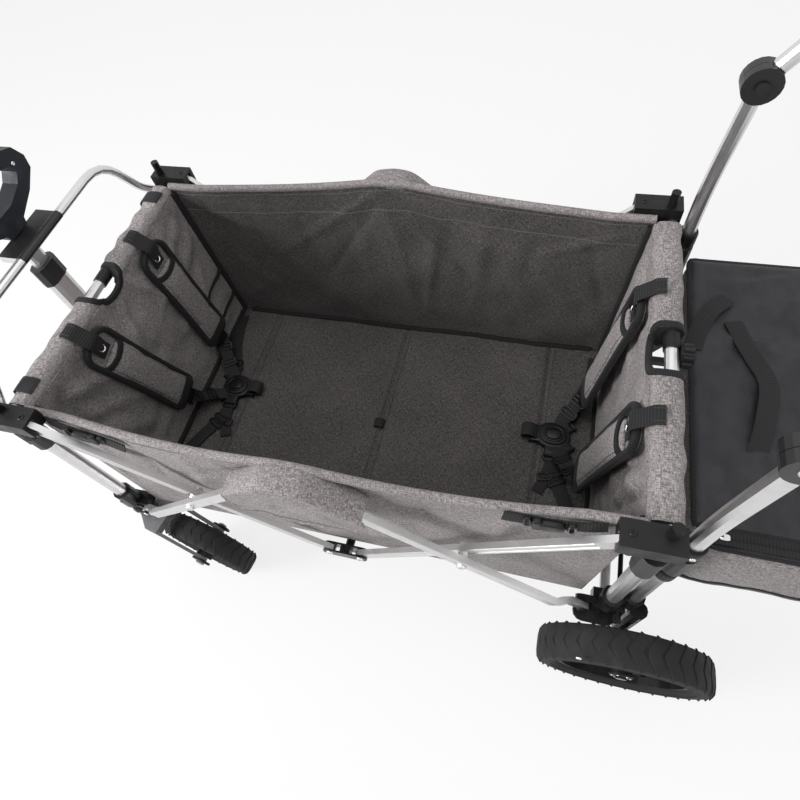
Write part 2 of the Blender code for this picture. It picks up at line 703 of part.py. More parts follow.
def bend_foot(arm, foot, direction, shift):
    """Step the foot of an arm sideways between the two bend distances from its pivot."""
    mesh_in_edit = bmesh.new()
    mesh_in_edit.from_mesh(arm.data)
    for distance in (M_BEND_START, M_BEND_END):
        geometry = mesh_in_edit.verts[:] + mesh_in_edit.edges[:] + mesh_in_edit.faces[:]
        bmesh.ops.bisect_plane(mesh_in_edit, geom=geometry, plane_co=foot + direction * distance,
                               plane_no=direction)
    for vert in mesh_in_edit.verts:
        along = (vert.co - foot).dot(direction)
        share = (M_BEND_END - along) / (M_BEND_END - M_BEND_START)
        vert.co.y += shift * min(1.0, max(0.0, share))
    bmesh.ops.triangulate(mesh_in_edit, faces=mesh_in_edit.faces)
    mesh_in_edit.to_mesh(arm.data)
    mesh_in_edit.free()
    return arm


def m_arm(side, end):
    """Outer arm, from the lower corner to the top joint, with the crossing bolt."""
    sign = SIDE_SIGN[side]
    foot = (end * CORNER_X, PIN_LOW_Z)
    head = (end * CENTRE_HALF, RIM_Z)
    inner, outer = M_ARM_Y - ARM_THICK / 2, M_ARM_Y + ARM_THICK / 2
    arm = upright_plate(stadium(foot, head, ARM_HALF), sign * inner, sign * outer,
                        holes=[circle(foot, PIN_HOLE), circle(head, PIN_HOLE)])
    foot_point = Vector((foot[0], sign * M_ARM_Y, foot[1]))
    direction = (Vector((head[0], sign * M_ARM_Y, head[1])) - foot_point).normalized()
    arm = bend_foot(arm, foot_point, direction, -sign * (M_ARM_Y - M_FOOT_Y))
    v_inner, v_outer = V_ARM_Y - ARM_THICK / 2, V_ARM_Y + ARM_THICK / 2
    cross = (end * CROSS_X, CROSS_Z)
    bolt = rod_y(*cross, sign * (v_inner - RUN_GAP - OVERLAP / 2), sign * M_ARM_Y, PIN_RADIUS)
    spacer = rod_y(*cross, sign * (v_outer + FIT_GAP), sign * (inner + OVERLAP / 2), BOLT_RADIUS)
    inner_head = rod_y(*cross, sign * (v_inner - RUN_GAP - PLATE_THICK), sign * (v_inner - RUN_GAP),
                       BOLT_RADIUS)
    outer_head = rod_y(*cross, sign * (outer - OVERLAP / 2), sign * (outer + BOLT_HEAD),
                       BOLT_RADIUS)
    arm = combine("arm", arm, [spacer, bolt, inner_head, outer_head])
    name = f"m_arm_{'rear' if end == REAR else 'front'}_{side}"
    hang(arm, name, name, "aluminium")


def v_arm(side, end):
    """Inner arm, from the top corner to the bottom joint."""
    sign = SIDE_SIGN[side]
    head = (end * CORNER_X, RIM_Z)
    foot = (end * CENTRE_HALF, PIN_LOW_Z)
    cross = (end * CROSS_X, CROSS_Z)
    arm = upright_plate(stadium(foot, head, ARM_HALF), sign * (V_ARM_Y - ARM_THICK / 2),
                        sign * (V_ARM_Y + ARM_THICK / 2),
                        holes=[circle(place, PIN_HOLE) for place in (foot, cross, head)])
    name = f"v_arm_{'rear' if end == REAR else 'front'}_{side}"
    hang(arm, name, name, "aluminium")


def centre_plates(sign, arm_y, pin_z):
    """Two plates, a spacer and two pins that hold a pair of arm ends between them."""
    inner_face, outer_face = arm_y - ARM_THICK / 2 - RUN_GAP, arm_y + ARM_THICK / 2 + RUN_GAP
    low, high = inner_face - PLATE_THICK, outer_face + PLATE_THICK
    outline = stadium((-CENTRE_HALF, pin_z), (CENTRE_HALF, pin_z), PLATE_RADIUS)
    inner_plate = upright_plate(outline, sign * low, sign * inner_face)
    outer_plate = upright_plate(outline, sign * outer_face, sign * high)
    spacer = block((-SPACER_HALF, sign * (low + OVERLAP / 2), pin_z - SPACER_HALF),
                   (SPACER_HALF, sign * (high - OVERLAP / 2), pin_z + SPACER_HALF))
    pins = [rod_y(x, pin_z, sign * (low + OVERLAP / 2), sign * (high - OVERLAP / 2), PIN_RADIUS)
            for x in (-CENTRE_HALF, CENTRE_HALF)]
    return inner_plate, [spacer, outer_plate, *pins]


def top_joint(side):
    sign = SIDE_SIGN[side]
    first, others = centre_plates(sign, M_ARM_Y, RIM_Z)
    hang(combine("joint", first, others), f"top_joint_{side}", f"top_joint_{side}", "black_plastic")


def bottom_joint():
    """Both bottom joints with the cross tube that ties them under the basket."""
    reach = V_ARM_Y - ARM_THICK / 2 - RUN_GAP - OVERLAP / 2
    bar = rod_y(0.0, CROSS_TUBE_Z, -reach, reach, CROSS_RADIUS)
    added = []
    for sign in SIDE_SIGN.values():
        first, others = centre_plates(sign, V_ARM_Y, PIN_LOW_Z)
        face = V_ARM_Y - ARM_THICK / 2 - RUN_GAP
        tab = block((-PLATE_RADIUS, sign * (face - PLATE_THICK), BLOCK_FOOT_Z),
                    (PLATE_RADIUS, sign * face, max(PIN_LOW_Z, CROSS_TUBE_Z)))
        added.extend([first, *others, tab])
    hang(combine("joint", bar, added), "bottom_cross_tube", "centre_bottom", "aluminium")


def top_bracket(side, end):
    """Corner bracket: cap, cheeks and pin for the inner arm, canopy stub, and sliding tube."""
    sign = SIDE_SIGN[side]
    slot_inner = V_ARM_Y - ARM_THICK / 2 - RUN_GAP
    slot_outer = V_ARM_Y + ARM_THICK / 2 + RUN_GAP
    cap = block((end * (CORNER_X - CAP_REACH), sign * CAP_INNER_Y, RIM_Z - CAP_DROP),
                (end * CAP_END_X, sign * CAP_OUTER_Y, CAP_TOP_Z))
    cheeks = block((end * (CORNER_X - CHEEK_REACH), sign * (slot_inner - CHEEK_THICK),
                    RIM_Z - CHEEK_DROP),
                   (end * (CAP_END_X - RUN_GAP), sign * (slot_outer + CHEEK_THICK), RIM_Z))
    stub = rod_z(end * POST_X, sign * POST_Y, CAP_TOP_Z - OVERLAP, CAP_TOP_Z + STUB_HEIGHT,
                 STUB_RADIUS)
    slide_foot = RIM_Z - TOP_TUBE_DROP - INNER_LENGTH
    slide = rod_z(end * POST_X, sign * POST_Y, slide_foot, RIM_Z, INNER_RADIUS)
    slot = block((end * (CORNER_X - 2 * CAP_REACH), sign * slot_inner, RIM_Z - 2 * CHEEK_DROP),
                 (end * (CORNER_X + ARM_HALF + RUN_GAP), sign * slot_outer, SLOT_TOP_Z))
    shell = combine("bracket", cap, [cheeks], [slot])
    pin = rod_y(end * CORNER_X, RIM_Z, sign * (slot_inner - OVERLAP / 2),
                sign * (slot_outer + OVERLAP / 2), PIN_RADIUS)
    head = rod_y(end * CORNER_X, RIM_Z - CAP_DROP - PIN_RADIUS, sign * slot_outer,
                 sign * (slot_outer + CHEEK_THICK + BOLT_HEAD), PIN_RADIUS)
    bracket = combine("bracket", shell, [stub, slide, pin, head])
    prefix = "rear" if end == REAR else "front"
    hang(bracket, f"{prefix}_bracket_{side}", f"{prefix}_top", "black_plastic")


def top_tube(end):
    reach = CAP_INNER_Y - FIT_GAP
    bar = rod_y(end * TOP_TUBE_X, TOP_TUBE_Z, -reach, reach, TOP_TUBE_RADIUS)
    prefix = "rear" if end == REAR else "front"
    hang(bar, f"{prefix}_top_tube", f"{prefix}_top", "aluminium")


def tube_knob():
    """Ridged knob on the middle of the rear top tube."""
    start = TOP_TUBE_X + TOP_TUBE_RADIUS + FIT_GAP
    core = rod((start, 0, TOP_TUBE_Z), (start + KNOB_LENGTH, 0, TOP_TUBE_Z), KNOB_RADIUS)
    ribs = []
    for i in range(KNOB_RIBS):
        angle = 2 * pi * i / KNOB_RIBS
        y, z = KNOB_RADIUS * cos(angle), TOP_TUBE_Z + KNOB_RADIUS * sin(angle)
        ribs.append(rod((start + OVERLAP, y, z), (start + KNOB_LENGTH - OVERLAP, y, z),
                        KNOB_RIB_RADIUS, 8))
    hang(combine("knob", core, ribs), "tube_knob", "knob", "black_plastic")


def end_wall(end):
    """Fabric end wall with the hem round its top tube and the half-moon hand cut-out."""
    half = SIDE_INNER_Y - FIT_GAP
    foot, top = FLOOR_Z + FIT_GAP, TOP_TUBE_Z
    outline = [(-half, foot), (half, foot), (half, top), (-half, top)]
    wall = plate(outline, FABRIC, FACING_X)
    for vert in wall.data.vertices:
        vert.co.x = end * (end_wall_x(vert.co.z) + FABRIC / 2 + vert.co.x)
    hem_radius = TOP_TUBE_RADIUS + HEM_WALL
    hem_outline = stadium((end * (TOP_TUBE_X - HEM_INWARD), TOP_TUBE_Z),
                          (end * TOP_TUBE_X, TOP_TUBE_Z), hem_radius)
    hem = upright_plate(hem_outline, -half, half)
    bore = rod_y(end * TOP_TUBE_X, TOP_TUBE_Z, -half - OVERLAP, half + OVERLAP,
                 TOP_TUBE_RADIUS + FIT_GAP)
    cutout_z = RIM_Z + CUTOUT_RISE
    cutout = rod((end * END_FOOT_X, 0, cutout_z), (end * (TOP_TUBE_X + 2 * hem_radius), 0, cutout_z),
                 CUTOUT_RADIUS, 24)
    if end == FRONT:
        wall.data.flip_normals()
    wall = combine("wall", wall, [hem], [bore, cutout])
    prefix = "rear" if end == REAR else "front"
    hang(wall, f"{prefix}_wall", f"{prefix}_top", "grey_fabric")


def side_wall(side):
    """Fabric side wall, bowed out at the rim, with the sleeve that covers the top joint."""
    sign = SIDE_SIGN[side]
    foot = FLOOR_FOOT_Z
    mesh_in_edit = bmesh.new()
    bmesh.ops.create_grid(mesh_in_edit, x_segments=14, y_segments=5, size=1.0)
    for vert in mesh_in_edit.verts:
        across, up = vert.co.x, (vert.co.y + 1) / 2
        x = across * (END_FOOT_X + OVERLAP + (END_TOP_X - END_FOOT_X) * up)
        z = foot + (rim_height(x) - foot) * up
        vert.co = (x, sign * (SIDE_INNER_Y + bulge(x, max(z, FLOOR_Z))), z)
    extruded = bmesh.ops.extrude_face_region(mesh_in_edit, geom=mesh_in_edit.faces[:])
    moved = [item for item in extruded["geom"] if isinstance(item, bmesh.types.BMVert)]
    bmesh.ops.translate(mesh_in_edit, vec=(0, sign * FABRIC, 0), verts=moved)
    wall = from_bmesh("wall", mesh_in_edit)
    slope = ARM_RISE / ARM_RUN
    length = sqrt(1 + slope ** 2)
    headroom = PLATE_RADIUS + 2 * RUN_GAP
    roof_x = CENTRE_HALF + headroom * (length - 1) / slope
    roof_z = RIM_Z + headroom
    end_x = roof_x + SLEEVE_LENGTH / length
    end_z = roof_z - SLEEVE_LENGTH * slope / length
    under = [(-end_x, end_z), (-roof_x, roof_z), (roof_x, roof_z), (end_x, end_z)]
    over = [(x, z + SLEEVE_SKIN) for x, z in under]
    hem_x, hem_z = end_x - SLEEVE_TAPER, end_z - 2 * SLEEVE_TAPER
    hem_foot = RIM_Z - SLEEVE_DEPTH
    inner_y = SIDE_INNER_Y + SIDE_BULGE + OVERLAP / 2
    sleeve = upright_plate([*over, (hem_x, hem_z), (0, hem_foot), (-hem_x, hem_z)],
                           sign * inner_y, sign * SLEEVE_OUTER_Y)
    room_foot = RIM_Z - 2 * SLEEVE_DEPTH
    beyond = [(2 * end_x, end_z - end_x * slope), (2 * end_x, room_foot),
              (-2 * end_x, room_foot), (-2 * end_x, end_z - end_x * slope)]
    room = upright_plate([*under, *beyond], sign * (inner_y - OVERLAP),
                         sign * (SLEEVE_OUTER_Y - SLEEVE_SKIN))
    sleeve = combine("sleeve", sleeve, [], [room])
    wall = combine("wall", wall, [sleeve])
    hang(wall, f"basket_side_{side}", "centre_bottom", "grey_fabric")


def basket_floor():
    """Padded floor mat with its three fold lines."""
    half = SIDE_INNER_Y - FIT_GAP
    reach = END_FOOT_X + FABRIC - RUN_GAP
    top = [(-reach, FLOOR_Z)]
    for fold in (-FLOOR_END_FOLD, 0.0, FLOOR_END_FOLD):
        top.extend([(fold - FLOOR_GROOVE, FLOOR_Z), (fold, FLOOR_Z - FLOOR_GROOVE),
                    (fold + FLOOR_GROOVE, FLOOR_Z)])
    top.append((reach, FLOOR_Z))
    outline = [*top, (reach, FLOOR_FOOT_Z), (-reach, FLOOR_FOOT_Z)]
    hang(upright_plate(outline, -half, half), "basket_floor", "centre_bottom", "grey_fabric")


def pad_matrix(side, end):
    """Turn of a pad about its hanging point, leaning into the basket and to its middle."""
    top_z = RIM_Z - PAD_TOP_DROP
    hang_point = Vector((end * (end_wall_x(top_z) - PAD_CLEARANCE), SIDE_SIGN[side] * PAD_Y, top_z))
    lean = end * (PAD_LEAN[end] + atan2(END_TOP_X - END_FOOT_X, BASKET_DEPTH))
    turn = -SIDE_SIGN[side] * PAD_TURN[end, side]
    return (Matrix.Translation(hang_point) @ Matrix.Rotation(lean, 4, "Y")
            @ Matrix.Rotation(turn, 4, "X"))


def shoulder_pad(side, end):
    """Crowned shoulder pad that hangs against an end wall, drawn in along its sides."""
    mesh_in_edit = bmesh.new()
    bmesh.ops.create_grid(mesh_in_edit, x_segments=3, y_segments=6, size=1.0)
    extruded = bmesh.ops.extrude_face_region(mesh_in_edit, geom=mesh_in_edit.faces[:])
    raised = {item for item in extruded["geom"] if isinstance(item, bmesh.types.BMVert)}
    for vert in mesh_in_edit.verts:
        across, up = vert.co.x, vert.co.y
        on_edge = max(abs(across), abs(up)) > 0.99
        share = PAD_EDGE_SHARE if on_edge else 1.0
        half_width = PAD_WIDTH / 2 * (1 - PAD_WAIST * cos(up * pi / 2))
        depth = PAD_THICK / 2 * (1 + share if vert in raised else 1 - share)
        vert.co = (-end * depth, across * half_width, (up - 1) * PAD_LENGTH / 2)
    pad = from_bmesh("pad", mesh_in_edit)
    pad.data.transform(pad_matrix(side, end))
    subdivision = pad.modifiers.new("crown", "SUBSURF")
    subdivision.levels = 1
    subdivision.render_levels = 1
    pad = bake(pad)
    prefix = "rear" if end == REAR else "front"
    hang(pad, f"{prefix}_pad_{side}", f"{prefix}_top", "grey_fabric")


def harness_buckle(end):
    """Buckle lying on the floor with the webbing that runs up to both pads."""
    low = FLOOR_Z + FIT_GAP
    high = low + BUCKLE_THICK
    reach = (BUCKLE_LENGTH - BUCKLE_WIDTH / 2) / 2
    outline = stadium((end * (BUCKLE_X - reach), BUCKLE_Y), (end * (BUCKLE_X + reach), BUCKLE_Y),
                      BUCKLE_WIDTH / 2)
    body = flat_plate(outline, low, high)
    added = [rod_z(end * BUCKLE_X, BUCKLE_Y, high - OVERLAP, high + OVERLAP, BUCKLE_BUTTON)]
    level = Vector((0.0, 1.0, 0.0))
    for side, sign in SIDE_SIGN.items():
        placing = pad_matrix(side, end)
        pad_foot = PAD_ROUNDED_OFF - PAD_LENGTH - FIT_GAP
        pad_end = placing @ Vector((-end * PAD_THICK / 2, 0, pad_foot))
        before = placing @ Vector((-end * PAD_THICK / 2, 0, -PAD_LENGTH - STRAP_WIDTH / 2))
        path = [(end * BUCKLE_X, BUCKLE_Y + sign * BUCKLE_WIDTH / 4, (low + high) / 2),
                (before.x - end * STRAP_WIDTH, (before.y + BUCKLE_Y) / 2, high), before, pad_end]
        sewn = placing.to_3x3() @ level
        added.append(strap(path, STRAP_WIDTH, STRAP_THICK, (level, level, sewn, sewn)))
    prefix = "rear" if end == REAR else "front"
    hang(combine("buckle", body, added), f"{prefix}_buckle", f"{prefix}_top", "black_plastic")


def wheel_matrix(x, y, z):
    """Turned wheels stand on a flat facet, with their own Z axis along Y."""
    facet = Matrix.Rotation(pi / WHEEL_SIDES, 4, "Z")
    return Matrix.Translation((x, y, z)) @ Matrix.Rotation(-pi / 2, 4, "X") @ facet


def tyre(x, y, z, radius, width, rim_radius):
    half = width / 2
    outer = radius / cos(pi / WHEEL_SIDES)
    inner = rim_radius + FIT_GAP / cos(pi / WHEEL_SIDES)
    shoulder = outer - 0.30 * half
    wall = (outer + inner) / 2
    profile = [(inner, -0.70 * half), (wall, -half), (shoulder, -0.86 * half), (outer, -0.30 * half),
               (outer, 0.30 * half), (shoulder, 0.86 * half), (wall, half), (inner, 0.70 * half)]
    return turned(profile, wheel_matrix(x, y, z), WHEEL_SIDES)


def rim(x, y, z, radius, width, bore, hub_half):
    """Spoked rim with its hub, bored for the axle."""
    half = 0.70 * width / 2
    hub_radius = bore + HUB_BORE_WALL
    matrix = wheel_matrix(x, y, z)
    ring = turned([(radius - RIM_WALL, -half), (radius, -half), (radius, half),
                   (radius - RIM_WALL, half)], matrix, WHEEL_SIDES)
    hub = rod_y(x, z, y - hub_half, y + hub_half, hub_radius)
    spokes = []
    for i in range(SPOKES):
        turn = Matrix.Translation((x, y, z)) @ Matrix.Rotation(2 * pi * i / SPOKES, 4, "Y")
        spoke = block((bore + OVERLAP, -SPOKE_THICK / 2, -SPOKE_WIDTH / 2),
                      (radius - RIM_WALL / 2, SPOKE_THICK / 2, SPOKE_WIDTH / 2))
        spoke.data.transform(turn)
        spokes.append(spoke)
    hole = rod_y(x, z, y - hub_half - OVERLAP, y + hub_half + OVERLAP, bore)
    return combine("rim", ring, [hub, *spokes], [hole])


def rear_wheel(side):
    place = BODIES[f"rear_wheel_{side}"][1]
    hang(tyre(*place, REAR_TYRE_RADIUS, REAR_TYRE_WIDTH, REAR_RIM_RADIUS),
         f"rear_tyre_{side}", f"rear_wheel_{side}", "tyre")
    hang(rim(*place, REAR_RIM_RADIUS, REAR_TYRE_WIDTH, REAR_AXLE_RADIUS + SLIDE_GAP,
             HUB_SHARE * REAR_TYRE_WIDTH / 2),
         f"rear_rim_{side}", f"rear_wheel_{side}", "black_plastic")


def front_wheel(side):
    place = BODIES[f"front_wheel_{side}"][1]
    hang(tyre(*place, FRONT_TYRE_RADIUS, FRONT_TYRE_WIDTH, FRONT_RIM_RADIUS),
         f"front_tyre_{side}", f"front_wheel_{side}", "tyre")
    hang(rim(*place, FRONT_RIM_RADIUS, FRONT_TYRE_WIDTH, FORK_AXLE_RADIUS + SLIDE_GAP,
             FORK_GAP - RUN_GAP),
         f"front_rim_{side}", f"front_wheel_{side}", "black_plastic")


def caster_fork(side):
    """Caster fork: swivel stem, crown, two blades and the wheel's axle with its nuts."""
    x, y = -POST_X, SIDE_SIGN[side] * POST_Y
    axle_x = x + CASTER_TRAIL
    outer = FORK_GAP + FORK_BLADE
    head_x = x + CROWN_LENGTH / 2
    crown_outline = [(head_x, y - outer), (x + CROWN_LENGTH, y - outer),
                     (x + CROWN_LENGTH, y + outer), (head_x, y + outer)]
    crown_outline += [(x + CROWN_RADIUS * cos(angle), y + CROWN_RADIUS * sin(angle))
                      for angle in [pi / 2 + pi * i / 6 for i in range(7)]]
    crown = flat_plate(crown_outline, CROWN_FOOT_Z, CROWN_TOP_Z)
    added = [rod_z(x, y, CROWN_TOP_Z - OVERLAP, CROWN_TOP_Z + STEM_LENGTH, STEM_RADIUS)]
    blade_top = (x + CROWN_LENGTH - FORK_RADIUS, CROWN_FOOT_Z + FORK_RADIUS)
    for sign in SIDE_SIGN.values():
        outline = stadium(blade_top, (axle_x, FRONT_AXLE_Z), FORK_RADIUS)
        added.append(upright_plate(outline, y + sign * FORK_GAP, y + sign * (outer - FIT_GAP)))
        added.append(rod_y(axle_x, FRONT_AXLE_Z, y + sign * (outer - OVERLAP),
                           y + sign * (outer + NUT_HEIGHT), NUT_RADIUS, 6))
    added.append(rod_y(axle_x, FRONT_AXLE_Z, y - outer, y + outer, FORK_AXLE_RADIUS))
    hang(combine("fork", crown, added), f"caster_fork_{side}", f"caster_{side}", "grey_metal")


def brake():
    """Brake rod across the rear frame with a foot pedal at each end."""
    bar = rod_y(BRAKE_X, BRAKE_Z, -BRAKE_REACH_Y, BRAKE_REACH_Y, BRAKE_RADIUS, 12)
    pedal_top = BLOCK_FOOT_Z - PEDAL_DROP
    radius = PEDAL_WIDTH / 2
    added = []
    for sign in SIDE_SIGN.values():
        y = sign * PEDAL_Y
        outline = stadium((BRAKE_X - PEDAL_LENGTH + radius, y), (BRAKE_X - radius, y), radius)
        added.append(flat_plate(outline, pedal_top - PEDAL_THICK, pedal_top))
        arm_inner = POST_Y + POST_RADIUS + 2 * RUN_GAP
        added.append(block((BRAKE_X - 2 * BRAKE_RADIUS, sign * arm_inner, pedal_top - PEDAL_THICK / 2),
                           (BRAKE_X + BRAKE_RADIUS / 2, sign * (BRAKE_REACH_Y - OVERLAP), BRAKE_Z)))
    hang(combine("brake", bar, added), "brake_bar", "brake_bar", "black_plastic")


def push_leg(side):
    """Push-bar leg beside the rear post, with the fixed half of the folding hub."""
    sign = SIDE_SIGN[side]
    y = sign * LEG_Y
    leg = tube(filleted([(LEG_X, y, LEG_FOOT_Z), (LEG_X, y, LEG_BEND_Z), (HUB_X, y, HUB_Z)], 0.05),
               LEG_RADIUS)
    hub = rod_y(HUB_X, HUB_Z, sign * (LEG_Y + FIT_GAP), sign * (LEG_Y + HUB_THICK), HUB_RADIUS, 20)
    room = rod_y(HUB_X, HUB_Z, sign * (LEG_Y - 2 * HUB_THICK), sign * (LEG_Y + FIT_GAP / 2),
                 HUB_RADIUS + RUN_GAP, 20)
    leg = combine("leg", leg, [hub], [room])
    head_face = LEG_Y - HUB_THICK - RUN_GAP
    pin = rod_y(HUB_X, HUB_Z, sign * (head_face - OVERLAP / 2), sign * (LEG_Y + HUB_THICK / 2),
                PIN_RADIUS)
    head = rod_y(HUB_X, HUB_Z, sign * (head_face - BOLT_HEAD), sign * head_face, BOLT_RADIUS)
    hang(combine("leg", leg, [pin, head]), f"push_leg_{side}", "rear_frame", "aluminium")


def push_bar():
    """U-shaped push bar between the moving halves of the hubs, and its foam grip."""
    top = (HUB_X + BAR_LENGTH * sin(BAR_LEAN), HUB_Z + BAR_LENGTH * cos(BAR_LEAN))
    corners = [(HUB_X, -LEG_Y, HUB_Z), (top[0], -LEG_Y, top[1]), (top[0], LEG_Y, top[1]),
               (HUB_X, LEG_Y, HUB_Z)]
    bar = tube(filleted(corners, BAR_CORNER, 6), LEG_RADIUS)
    hubs, rooms, holes = [], [], []
    for sign in SIDE_SIGN.values():
        hubs.append(rod_y(HUB_X, HUB_Z, sign * (LEG_Y - HUB_THICK), sign * LEG_Y, HUB_RADIUS, 20))
        rooms.append(rod_y(HUB_X, HUB_Z, sign * (LEG_Y - FIT_GAP), sign * (LEG_Y + 2 * HUB_THICK),
                           HUB_RADIUS + RUN_GAP, 20))
        rooms.append(rod_y(HUB_X, HUB_Z, sign * (LEG_Y - HUB_THICK), sign * (LEG_Y - 3 * HUB_THICK),
                           HUB_RADIUS + RUN_GAP, 20))
        holes.append(rod_y(HUB_X, HUB_Z, sign * (LEG_Y - 3 * HUB_THICK), sign * (LEG_Y + HUB_THICK),
                           PIN_HOLE, 12))
    bar = combine("bar", bar, hubs, [*rooms, *holes])
    hang(bar, "push_bar", "push_bar", "aluminium")
    bore, outer = LEG_RADIUS + FIT_GAP, LEG_RADIUS + GRIP_WALL
    half = GRIP_LENGTH / 2
    matrix = Matrix.Translation((top[0], 0, top[1])) @ Matrix.Rotation(-pi / 2, 4, "X")
    grip = turned([(bore, -half), (outer, -half), (outer, half), (bore, half)], matrix)
    hang(grip, "push_grip", "push_bar", "foam")


def storage_bag():
    """Closed storage bag behind the rear frame, held to the push legs by two loops."""
    mesh_in_edit = bmesh.new()
    bmesh.ops.create_cube(mesh_in_edit, size=1.0)
    centre = (BAG_FRONT_X + BAG_LENGTH / 2, 0, BAG_TOP_Z - BAG_DEPTH / 2)
    size = Matrix.Diagonal((BAG_LENGTH, 2 * BAG_HALF_WIDTH, BAG_DEPTH, 1.0))
    bmesh.ops.transform(mesh_in_edit, matrix=Matrix.Translation(centre) @ size,
                        verts=mesh_in_edit.verts)
    bmesh.ops.bevel(mesh_in_edit, geom=mesh_in_edit.edges[:], offset=BAG_ROUNDING, segments=2,
                    profile=0.5, affect="EDGES")
    bag = from_bmesh("bag", mesh_in_edit)
    loops, holes = [], []
    loop_top = BAG_TOP_Z - BAG_DEPTH + LOOP_RISE + LOOP_HEIGHT
    loop_foot = loop_top - LOOP_HEIGHT
    for sign in SIDE_SIGN.values():
        y = sign * LEG_Y
        loops.append(rod_z(LEG_X, y, loop_foot, loop_top, LEG_RADIUS + FIT_GAP + LOOP_SKIN))
        loops.append(block((LEG_X, sign * (LEG_Y - LOOP_INWARD), loop_foot + OVERLAP / 2),
                           (BAG_FRONT_X + BAG_ROUNDING, y, loop_top - OVERLAP / 2)))
        holes.append(rod_z(LEG_X, y, loop_foot - OVERLAP, loop_top + OVERLAP,
                           LEG_RADIUS + FIT_GAP))
    hang(combine("bag", bag, loops, holes), "storage_bag", "rear_frame", "black_fabric")


def front_hoop():
    """Hoop over the front end, standing in the front collars, with the handle's clip."""
    half_run = [(-HOOP_X, POST_Y, HOOP_FOOT_Z), (-HOOP_X, POST_Y, POST_TOP_Z + HOOP_STRAIGHT),
                (-HOOP_BAR_X, HOOP_WAIST_Y, RIM_Z), (-HOOP_BAR_X, HOOP_CORNER_Y, HOOP_BAR_Z)]
    other_run = [(x, -y, z) for x, y, z in reversed(half_run)]
    hoop = tube(filleted([*half_run, *other_run], HOOP_ROUNDING, 4), HOOP_RADIUS)
    clip_face = HANDLE_X - STEM_THICK / 2 - SLIDE_GAP
    clip = block((-clip_face, -CLIP_WIDTH / 2, HOOP_BAR_Z - CLIP_HEIGHT / 2),
                 (-HOOP_BAR_X, CLIP_WIDTH / 2, HOOP_BAR_Z + CLIP_HEIGHT / 2))
    hang(combine("hoop", hoop, [clip]), "front_hoop", "front_frame", "aluminium")


def pull_handle():
    """Hinged draw tube with its collar, the stem that slides in it, and the loop grip."""
    eye_radius = DRAW_THICK / 2
    draw = flat_plate(oval(-HANDLE_X, DRAW_WIDTH, DRAW_THICK), HANDLE_PIVOT_Z, DRAW_TOP_Z - OVERLAP)
    eye_half = (DRAW_WIDTH - DRAW_THICK) / 2
    eye = rod_y(-HANDLE_X, HANDLE_PIVOT_Z, -eye_half, eye_half, eye_radius)
    wall = 2 * DRAW_COLLAR_WALL
    collar = flat_plate(oval(-HANDLE_X, DRAW_WIDTH + wall, DRAW_THICK + wall),
                        DRAW_TOP_Z - DRAW_COLLAR_HEIGHT, DRAW_TOP_Z)
    room = 2 * SLIDE_GAP
    bore = flat_plate(oval(-HANDLE_X, STEM_WIDTH + room, STEM_THICK + room),
                      STEM_FOOT_Z - DRAW_STOP, DRAW_TOP_Z + OVERLAP)
    hole = rod_y(-HANDLE_X, HANDLE_PIVOT_Z, -DRAW_WIDTH, DRAW_WIDTH, HANDLE_PIN_RADIUS + SLIDE_GAP)
    hang(combine("draw", draw, [eye, collar], [bore, hole]), "draw_tube", "pull_handle", "aluminium")
    stem_top = NECK_Z + NECK_SOCKET
    stem = flat_plate(oval(-HANDLE_X, STEM_WIDTH, STEM_THICK), STEM_FOOT_Z, stem_top)
    hang(stem, "draw_stem", "handle_stem", "aluminium")
    outline = [(y, NECK_Z + z) for y, z in LOOP_OUTLINE]
    outline += [(-y, z) for y, z in reversed(outline)]
    hole_outline = [(y, NECK_Z + z) for y, z in LOOP_HOLE]
    hole_outline += [(-y, z) for y, z in reversed(hole_outline)]
    matrix = Matrix.Translation((-HANDLE_X, 0, 0)) @ FACING_X
    loop = plate(outline, LOOP_THICK, matrix, [hole_outline])
    socket = flat_plate(oval(-HANDLE_X, STEM_WIDTH + 2 * FIT_GAP, STEM_THICK + 2 * FIT_GAP),
                        NECK_Z - OVERLAP, stem_top + FIT_GAP)
    hang(combine("loop", loop, [], [socket]), "handle_grip", "handle_stem", "black_plastic")


def main():
    make_bodies()
    for side in SIDE_SIGN:
        for end in (REAR, FRONT):
            corner_post(side, end)
            m_arm(side, end)
            v_arm(side, end)
            top_bracket(side, end)
            shoulder_pad(side, end)
        rear_socket(side)
        front_socket(side)
        top_joint(side)
        side_wall(side)
        rear_wheel(side)
        front_wheel(side)
        caster_fork(side)
        push_leg(side)
    for end in (REAR, FRONT):
        cross_tube(end)
        top_tube(end)
        end_wall(end)
        harness_buckle(end)
    bottom_joint()
    basket_floor()
    tube_knob()
    brake()
    push_bar()
    storage_bag()
    front_hoop()
    pull_handle()


main()
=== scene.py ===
"""Looks of the folding wagon: a fabric basket in a scissor frame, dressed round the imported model.

Every form is drawn in the wagon's own measures, whose X = 0 is the middle of the basket, and is
moved into the row frame when its piece is made.
"""

import json
import logging
from collections.abc import Callable, Iterable, Sequence
from dataclasses import dataclass, field
from enum import Enum
from math import atan2, cos, hypot, pi, radians, sin, sqrt

import bmesh
import bpy
import numpy as np
from mathutils import Matrix, Vector
from mathutils.bvhtree import BVHTree

